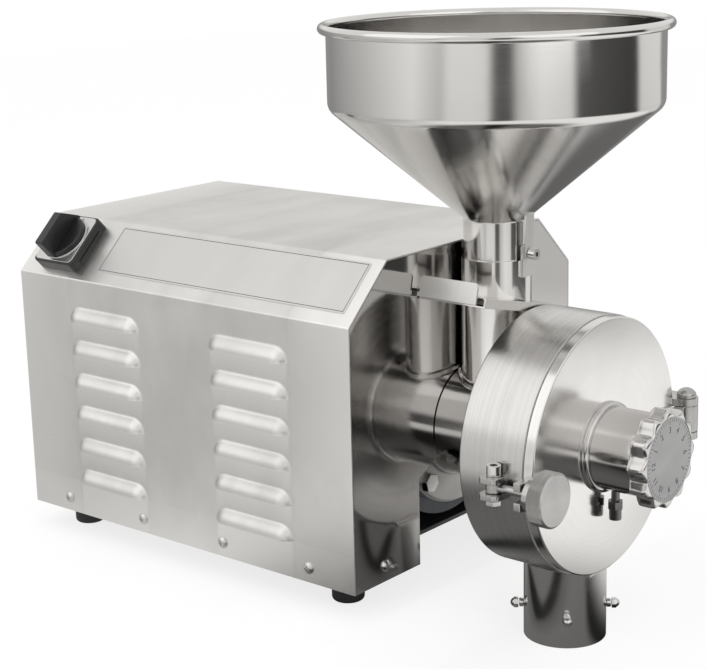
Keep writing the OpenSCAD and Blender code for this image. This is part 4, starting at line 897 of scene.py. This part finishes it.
LOBES = 12
LOBE_MEAN = 33.4
LOBE_SWING = 2.1
KNOB_BACK = 70
DIAL_R = 29.5
FIGURE_SIZE = 6.4
FIGURE_REACH = 20.9
TURN_UP = 3


def move_to_lobes(verts, x, drop, share):
    """Moves a ring of vertices to a lobed outline at x; share sets how far the lobes stand out."""
    for vert in verts:
        a = atan2(vert.co.z, vert.co.y)
        r = LOBE_MEAN + drop + share * LOBE_SWING * cos(LOBES * a)
        vert.co = (x, r * cos(a), r * sin(a))


def knob():
    """Polished lobed knob with a dial of plain figures."""
    back, front = KNOB_BACK, knob_high.x
    lobed = [(back, -2.2, 0.5), (back + 0.5, -1.0, 0.8), (back + 1.6, -0.2, 1.0), (back + 4, 0, 1.0),
             (front - 3.6, 0, 1.0), (front - 1.6, -0.25, 1.0), (front - 0.5, -1.0, 0.8), (front, -2.2, 0.5)]
    seat = [(front - down, r - LOBE_MEAN, 0) for down, r in ((0, 30.2), (0.35, 29.9), (0.7, 29.9))]
    bm = bmesh.new()
    start = bmesh.ops.create_circle(bm, segments=20 * LOBES, radius=1)["verts"]
    edges = list({e for v in start for e in v.link_edges})
    bmesh.ops.rotate(bm, verts=start, cent=ORIGIN, matrix=Matrix.Rotation(pi / 2, 3, "Y"))
    move_to_lobes(start, *lobed[0])
    bmesh.ops.contextual_create(bm, geom=edges)
    for ring in lobed[1:] + seat:
        grown = bmesh.ops.extrude_edge_only(bm, edges=edges)["geom"]
        edges = new_edges(grown)
        move_to_lobes(new_verts(grown), *ring)
    bmesh.ops.contextual_create(bm, geom=edges)
    bmesh.ops.translate(bm, vec=shaft_line, verts=bm.verts)
    rod(bm, (knob_low.x, 0, shaft_z), (back + 0.5, 0, shaft_z), 8)
    piece("lobed_knob", bm, "bolt_steel", "knob", ["knob"], sharp=50)
    dial_x = front - 0.2
    bm = bmesh.new()
    spin(bm, fillet(sleeve(dial_x - 0.5, dial_x, 0, DIAL_R), [0, 0, 0.2, 0]), AXIS_X, shaft_line, 128,
         closed=False)
    piece("dial_plate", bm, "dial_face", "knob", ["dial"])
    bm = bmesh.new()
    facing = (Matrix.Translation((dial_x, 0, shaft_z)) @ Matrix.Rotation(pi / 2, 4, "Z")
              @ Matrix.Rotation(pi / 2, 4, "X"))
    ticks, long_every = 60, 5
    for k in range(ticks):
        length = 4.0 if k % long_every == 0 else 2.2
        bar(bm, (0, DIAL_R - 0.9 - length / 2, 0), (0.36, length, INK_T),
            facing @ Matrix.Rotation(-2 * pi * k / ticks, 4, "Z"))
    for k in range(LOBES):
        turn = Matrix.Rotation(-2 * pi * (k - TURN_UP) / LOBES, 4, "Z")
        figure(bm, str(k if k else LOBES), FIGURE_SIZE, INK_T,
               facing @ turn @ Matrix.Translation((0, FIGURE_REACH, 0)))
    piece("dial_marks", bm, "ink", "knob")


# Clamp nut

def clamp_nut():
    """Clamp nut with a diamond knurl and a turned face."""
    collar_end, face, r = nut_low.x + 7.7, nut_high.x, nut_high.y - nut_line.y
    collar_r, bolt_r = 12, 3.05
    around, rows, tooth = 144, 12, 0.65
    bm = bmesh.new()
    spin(bm, fillet(sleeve(nut_low.x, collar_end + 0.5, bolt_r, collar_r), [0, 0.6, 0, 0], closed=True),
         AXIS_X, nut_line, 64)
    knurl_start, knurl_end = collar_end + 1.0, face - 1.0
    knurl_l = knurl_end - knurl_start
    profile = [(collar_end, 0), (collar_end, r - 1.4)]
    profile += [(knurl_start + knurl_l * k / rows, r - tooth) for k in range(rows + 1)]
    profile += [(face, r - 1.6), (face, 0)]
    spin(bm, profile, AXIS_X, nut_line, around, closed=False)
    valleys = []
    for vert in bm.verts:
        out = Vector((0, vert.co.y - nut_line.y, vert.co.z - nut_line.z))
        if abs(out.length - (r - tooth)) < 0.01:
            step = round(atan2(out.z, out.y) / (2 * pi) * around)
            row = round((vert.co.x - knurl_start) / knurl_l * rows)
            if (step + row) % 2 == 0:
                vert.co += out.normalized() * tooth
            else:
                valleys.append(vert)
    bmesh.ops.connect_verts(bm, verts=valleys)
    piece("clamp_knurled_nut", bm, "nut_steel", "clamp_nut", ["knurled_nut"], sharp=14)


# Hopper

CONE_RISE = 154
CONE_H = 80


def hopper_bowl():
    """Spun hopper with a rolled rim."""
    bowl_r, wall, bead_r = 118, 1.0, 3.5
    spout_r = FEED_BORE - 0.4
    foot, cone_foot = hopper_low.z, shaft_z + CONE_RISE
    bowl_foot = cone_foot + CONE_H
    bowl_top = hopper_high.z - bead_r
    outer = fillet([(foot, spout_r), (cone_foot, spout_r), (bowl_foot, bowl_r), (bowl_top, bowl_r)],
                   [0, 2, 10, 0], steps=8)
    inner = fillet([(foot, spout_r - wall), (cone_foot + 0.4, spout_r - wall), (bowl_foot + 0.4, bowl_r - wall),
                    (bowl_top, bowl_r - wall)], [0, 1.5, 9, 0], steps=8)
    bm = bmesh.new()
    spin(bm, outer + inner[::-1], AXIS_Z, feed_line, 192)
    spin(bm, circle_points(bowl_top, bowl_r + bead_r / 2 + 0.5, bead_r, 24), AXIS_Z, feed_line, 192)
    piece("hopper_bowl", bm, "spun_steel", "hopper", ["hopper"])


casing_sheet()
shoulder_plate()
switch()
barrel()
barrel_welds()
feed_pipe()
drum_shell()
outlet_pipe()
cover()
knob()
clamp_nut()
hopper_bowl()

# Small rigid parts keep their CAD form with rounded edges: node, name, finish and width
SMALL_PARTS = (
    ("casing_screws", "wrap_screws", "bolt_steel", 0.15), ("flange_bolts", "barrel_bolts", "bolt_steel", 0.5),
    ("gate_channel", "gate_rails", "polished_steel", 0.3), ("gate_plate", "feed_gate", "satin_sheet", 0.4),
    ("hopper_lug", "tube_lug", "satin_sheet", 0.3), ("hopper_screw", "lug_screw", "bolt_steel", 0.3),
    ("hopper_strap", "lift_strap", "satin_sheet", 0.3), ("hinge_ears", "drum_hinge_ears", "bracket_steel", 0.6),
    ("hinge_pin", "domed_hinge_pin", "bracket_steel", 0.4),
    ("hinge_knuckle", "cover_knuckle", "bracket_steel", 0.6),
    ("clamp_ears", "drum_clamp_ears", "bracket_steel", 0.6),
    ("clamp_pin", "socket_clamp_pin", "bolt_steel", 0.3),
    ("swing_bolt", "eye_bolt", "bracket_steel", 0.3), ("cover_fork", "slotted_fork", "bracket_steel", 0.5),
    ("lock_bolt", "neck_lock_bolt", "dark_bolt", 0.3), ("cable_gland", "rear_gland", "black_plastic", 0.5))
for part in SMALL_PARTS:
    eased(*part)

# CAD nodes that stay take a listed finish in each of their material slots
CARRIED = {
    "mirror_sheet": ["front_panel"],
    "satin_sheet": ["rear_panel"],
    "black_paint": ["base_plate"],
    "black_rubber": ["rubber_feet"],
    "motor_paint": ["motor_frame", "motor_front_bell", "motor_rear_bell", "fan_cowl", "terminal_box"],
    "core_iron": ["stator", "rotor_core"],
    "copper": ["windings"],
    "bolt_steel": ["foot_screws", "motor_bolts", "front_bearing", "rear_bearing", "shaft_key", "disc_bolt",
                   "carrier_screws"],
    "turned_steel": ["motor_shaft", "disc_carrier"],
    "black_plastic": ["cooling_fan"],
    "brown_rubber": ["shaft_seal"],
    "pale_rubber": ["drum_seal"],
    "disc_iron": ["auger", "turning_disc", "still_disc"],
    "bronze": ["neck_bush"],
}
for finish, nodes in CARRIED.items():
    for node in nodes:
        for slot in frame["nodes"][node].material_slots:
            slot.material = FINISHES[finish]


# Studio

CAMERA_YAW = radians(40.246)
CAMERA_PITCH = radians(14.224)
CAMERA_ROLL = radians(-1.441)
CAMERA_PLACE = Vector((0.6484, -0.9978, 0.5278))
FRAME_WIDTH = 706
FOCAL_PIXELS = 1737
SENSOR = 36.0

# Plain studio round the mill: degrees to the right of the camera, brightness. A pale wall on the left,
# a dark gap behind the camera, a pale screen, a dark curtain and a pale strip on the right
STUDIO = [(-150, 0.3), (-100, 0.6), (-60, 0.9), (-40, 0.6), (-35, 0.85), (-10, 0.85), (-5, 0.1), (5, 0.1),
          (10, 0.6), (25, 0.9), (45, 0.8), (50, 0.1), (100, 0.05), (105, 0.8), (135, 0.8), (140, 0.3)]
# Middle of the painted shade that reflections see on the floor beside the drum.
FLOOR_SHADE_SPOT = Vector((0.06, -0.16, 0))
WARM_WHITE = (1, 0.992, 0.978, 1)
WHITE = (1, 1, 1, 1)
OVERHEAD = 0.92
SOFT_LIGHT = 0.62


def studio_group():
    """Brightness of the studio in a direction, for what the metal reflects."""
    group, given, result = new_group("studio bands", {})
    turned = add(group, "Mapping", {"Vector": given["Vector"],
                 "Rotation": (0, 0, pi / 2 - CAMERA_YAW)})
    round_about = add(group, "TexGradient", {"Vector": turned.outputs[0]}, gradient_type="RADIAL")
    ramp = add(group, "ValToRGB", {"Fac": round_about.outputs["Fac"]})
    stops = ramp.color_ramp.elements
    while len(stops) > 1:
        stops.remove(stops[0])
    stops[0].position = 0.5 + STUDIO[0][0] / 360
    stops[0].color = (STUDIO[0][1],) * 3 + (1,)
    for degrees_right, brightness in STUDIO[1:]:
        stop = stops.new(0.5 + degrees_right / 360)
        stop.color = (brightness, brightness, brightness, 1)
    level = add(group, "SeparateColor", {"Color": ramp.outputs["Color"]})
    group.links.new(level.outputs["Red"], result)
    return group


STUDIO_BANDS = studio_group()


def seen_directly(tree):
    """1 for rays that reflect in metal or pass through glass, beside the camera's own rays."""
    path = add(tree, "LightPath")
    mirrored = maths(tree, "MAXIMUM", path.outputs["Is Glossy Ray"], path.outputs["Is Transmission Ray"])
    return path.outputs["Is Camera Ray"], mirrored


def mix_shaders(tree, share, first, second):
    """Mixes two shader nodes by a share from 0 to 1."""
    return add(tree, "MixShader", {0: share, 1: first.outputs[0], 2: second.outputs[0]})


def studio_world():
    """Soft even light, a white background and the studio's bands for reflections."""
    world = bpy.data.worlds.new("studio")
    bpy.context.scene.world = world
    world.use_nodes = True
    tree = world.node_tree
    tree.nodes.clear()
    camera_ray, mirrored = seen_directly(tree)
    away = add(tree, "TexCoord").outputs["Generated"]
    bands = place_group(tree, STUDIO_BANDS, {"Vector": away})
    split = add(tree, "SeparateXYZ", {0: away})
    overhead = spread_out(tree, split.outputs["Z"], 0.06, 0.2)
    soft, shown, studio = (
        add(tree, "Background", {"Color": colour, "Strength": strength})
        for colour, strength in ((WHITE, SOFT_LIGHT), (WHITE, 1.0),
                                 (WARM_WHITE, mix_value(tree, overhead, bands, OVERHEAD))))
    whole = mix_shaders(tree, camera_ray, mix_shaders(tree, mirrored, soft, studio), shown)
    out = add(tree, "OutputWorld")
    tree.links.new(whole.outputs[0], out.inputs["Surface"])


def floor_paint():
    """Matt white for light, pure white for the camera, and for reflections a floor that glows with painted
    shade: dark near and behind the mill, darker towards its rear end, the studio's bands far off.
    """
    paint, tree, _ = blank_material("studio floor")
    tree.nodes.clear()
    camera_ray, mirrored = seen_directly(tree)
    spot = add(tree, "TexCoord").outputs["Object"]
    centred = add(tree, "Mapping", {"Vector": spot, "Location": (0.1, 0, 0)})
    bands = place_group(tree, STUDIO_BANDS, {"Vector": centred.outputs[0]})
    split = add(tree, "SeparateXYZ", {0: spot})
    # Painted shade: in reflections the floor is dark round a spot beside the drum and behind the mill, as if
    # the mill's shadow lay there, and darker towards the rear end.
    offset = add(tree, "VectorMath", {0: spot, 1: FLOOR_SHADE_SPOT}, operation="DISTANCE")
    reach = add(tree, "VectorMath", {0: spot}, operation="LENGTH")
    side = spread_out(tree, split.outputs["X"], -0.45, 0.0, 0.6, 1.05)
    behind = maths(tree, "MULTIPLY", spread_out(tree, split.outputs["Y"], 0.1, 0.3),
                   spread_out(tree, split.outputs["X"], 0.2, 0.0))
    beside = mix_value(tree, spread_out(tree, offset.outputs["Value"], 0.17, 0.36, curve="SMOOTHSTEP"),
                       maths(tree, "MULTIPLY", bands, 0.2), mix_value(tree, behind, side, 0.16))
    beyond = spread_out(tree, reach.outputs["Value"], 0.8, 1.1, curve="SMOOTHSTEP")
    shade = mix_value(tree, beyond, beside, bands)
    matt = add(tree, "BsdfDiffuse", {"Color": (0.85, 0.85, 0.85, 1)})
    white = add(tree, "Emission", {"Color": WHITE, "Strength": 1.3})
    seen = add(tree, "Emission", {"Color": WARM_WHITE, "Strength": shade})
    shown = mix_shaders(tree, camera_ray, matt, mix_shaders(tree, 0.6, matt, white))
    out = add(tree, "OutputMaterial")
    tree.links.new(mix_shaders(tree, mirrored, shown, seen).outputs[0], out.inputs["Surface"])
    return paint


def floor():
    """Pale floor: the feet stand on its higher part, the outlet hangs past a soft step."""
    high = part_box("rubber_feet")[0].z
    far = 4.0
    start, end, steps = (front_x + 8) * MM, (front_x + 50) * MM, 16
    stations = [-far, start] + [start + (end - start) * k / steps for k in range(1, steps + 1)] + [far]
    bm = bmesh.new()
    points = []
    for x in stations:
        t = min(max((x - start) / (end - start), 0), 1)
        points.append((x, -far, high * (1 - t * t * (3 - 2 * t)) - 0.0002))
    _, edges = poly_line(bm, points)
    grown = bmesh.ops.extrude_edge_only(bm, edges=edges)["geom"]
    bmesh.ops.translate(bm, vec=(0, 2 * far, 0), verts=new_verts(grown))
    bmesh.ops.recalc_face_normals(bm, faces=bm.faces)
    mesh = closed_mesh("studio_floor", bm)
    mesh.shade_smooth()
    made = into_scene("studio_floor", mesh)
    mesh.materials.append(floor_paint())


def lamp(name, place, target, size, power):
    """Soft square lamp that faces a target."""
    light = bpy.data.lights.new(name, "AREA")
    light.size = size
    light.energy = power
    made = into_scene(name, light)
    made.location = place
    made.rotation_euler = (Vector(place) - Vector(target)).to_track_quat("Z", "Y").to_euler()


def camera():
    """Camera at the photograph's place and angle."""
    data = bpy.data.cameras.new("camera")
    made = into_scene("camera", data)
    back = Vector((sin(CAMERA_YAW) * cos(CAMERA_PITCH), -cos(CAMERA_YAW) * cos(CAMERA_PITCH),
                   sin(CAMERA_PITCH)))
    made.location = CAMERA_PLACE
    made.rotation_euler = (back.to_track_quat("Z", "Y").to_matrix() @ Matrix.Rotation(CAMERA_ROLL, 3, "Z")
                           ).to_euler()
    data.sensor_width = SENSOR
    data.lens = FOCAL_PIXELS / FRAME_WIDTH * SENSOR
    data.clip_start, data.clip_end = 0.05, 20
    bpy.context.scene.camera = made


studio_world()
floor()
lamp("key lamp", (-0.9, -1.5, 1.5), (-0.15, 0, 0.2), 2.2, 6)
lamp("side lamp", (1.5, -0.4, 1.0), (-0.05, 0, 0.2), 1.6, 3)
camera()
bpy.context.scene.view_settings.view_transform = "Standard"
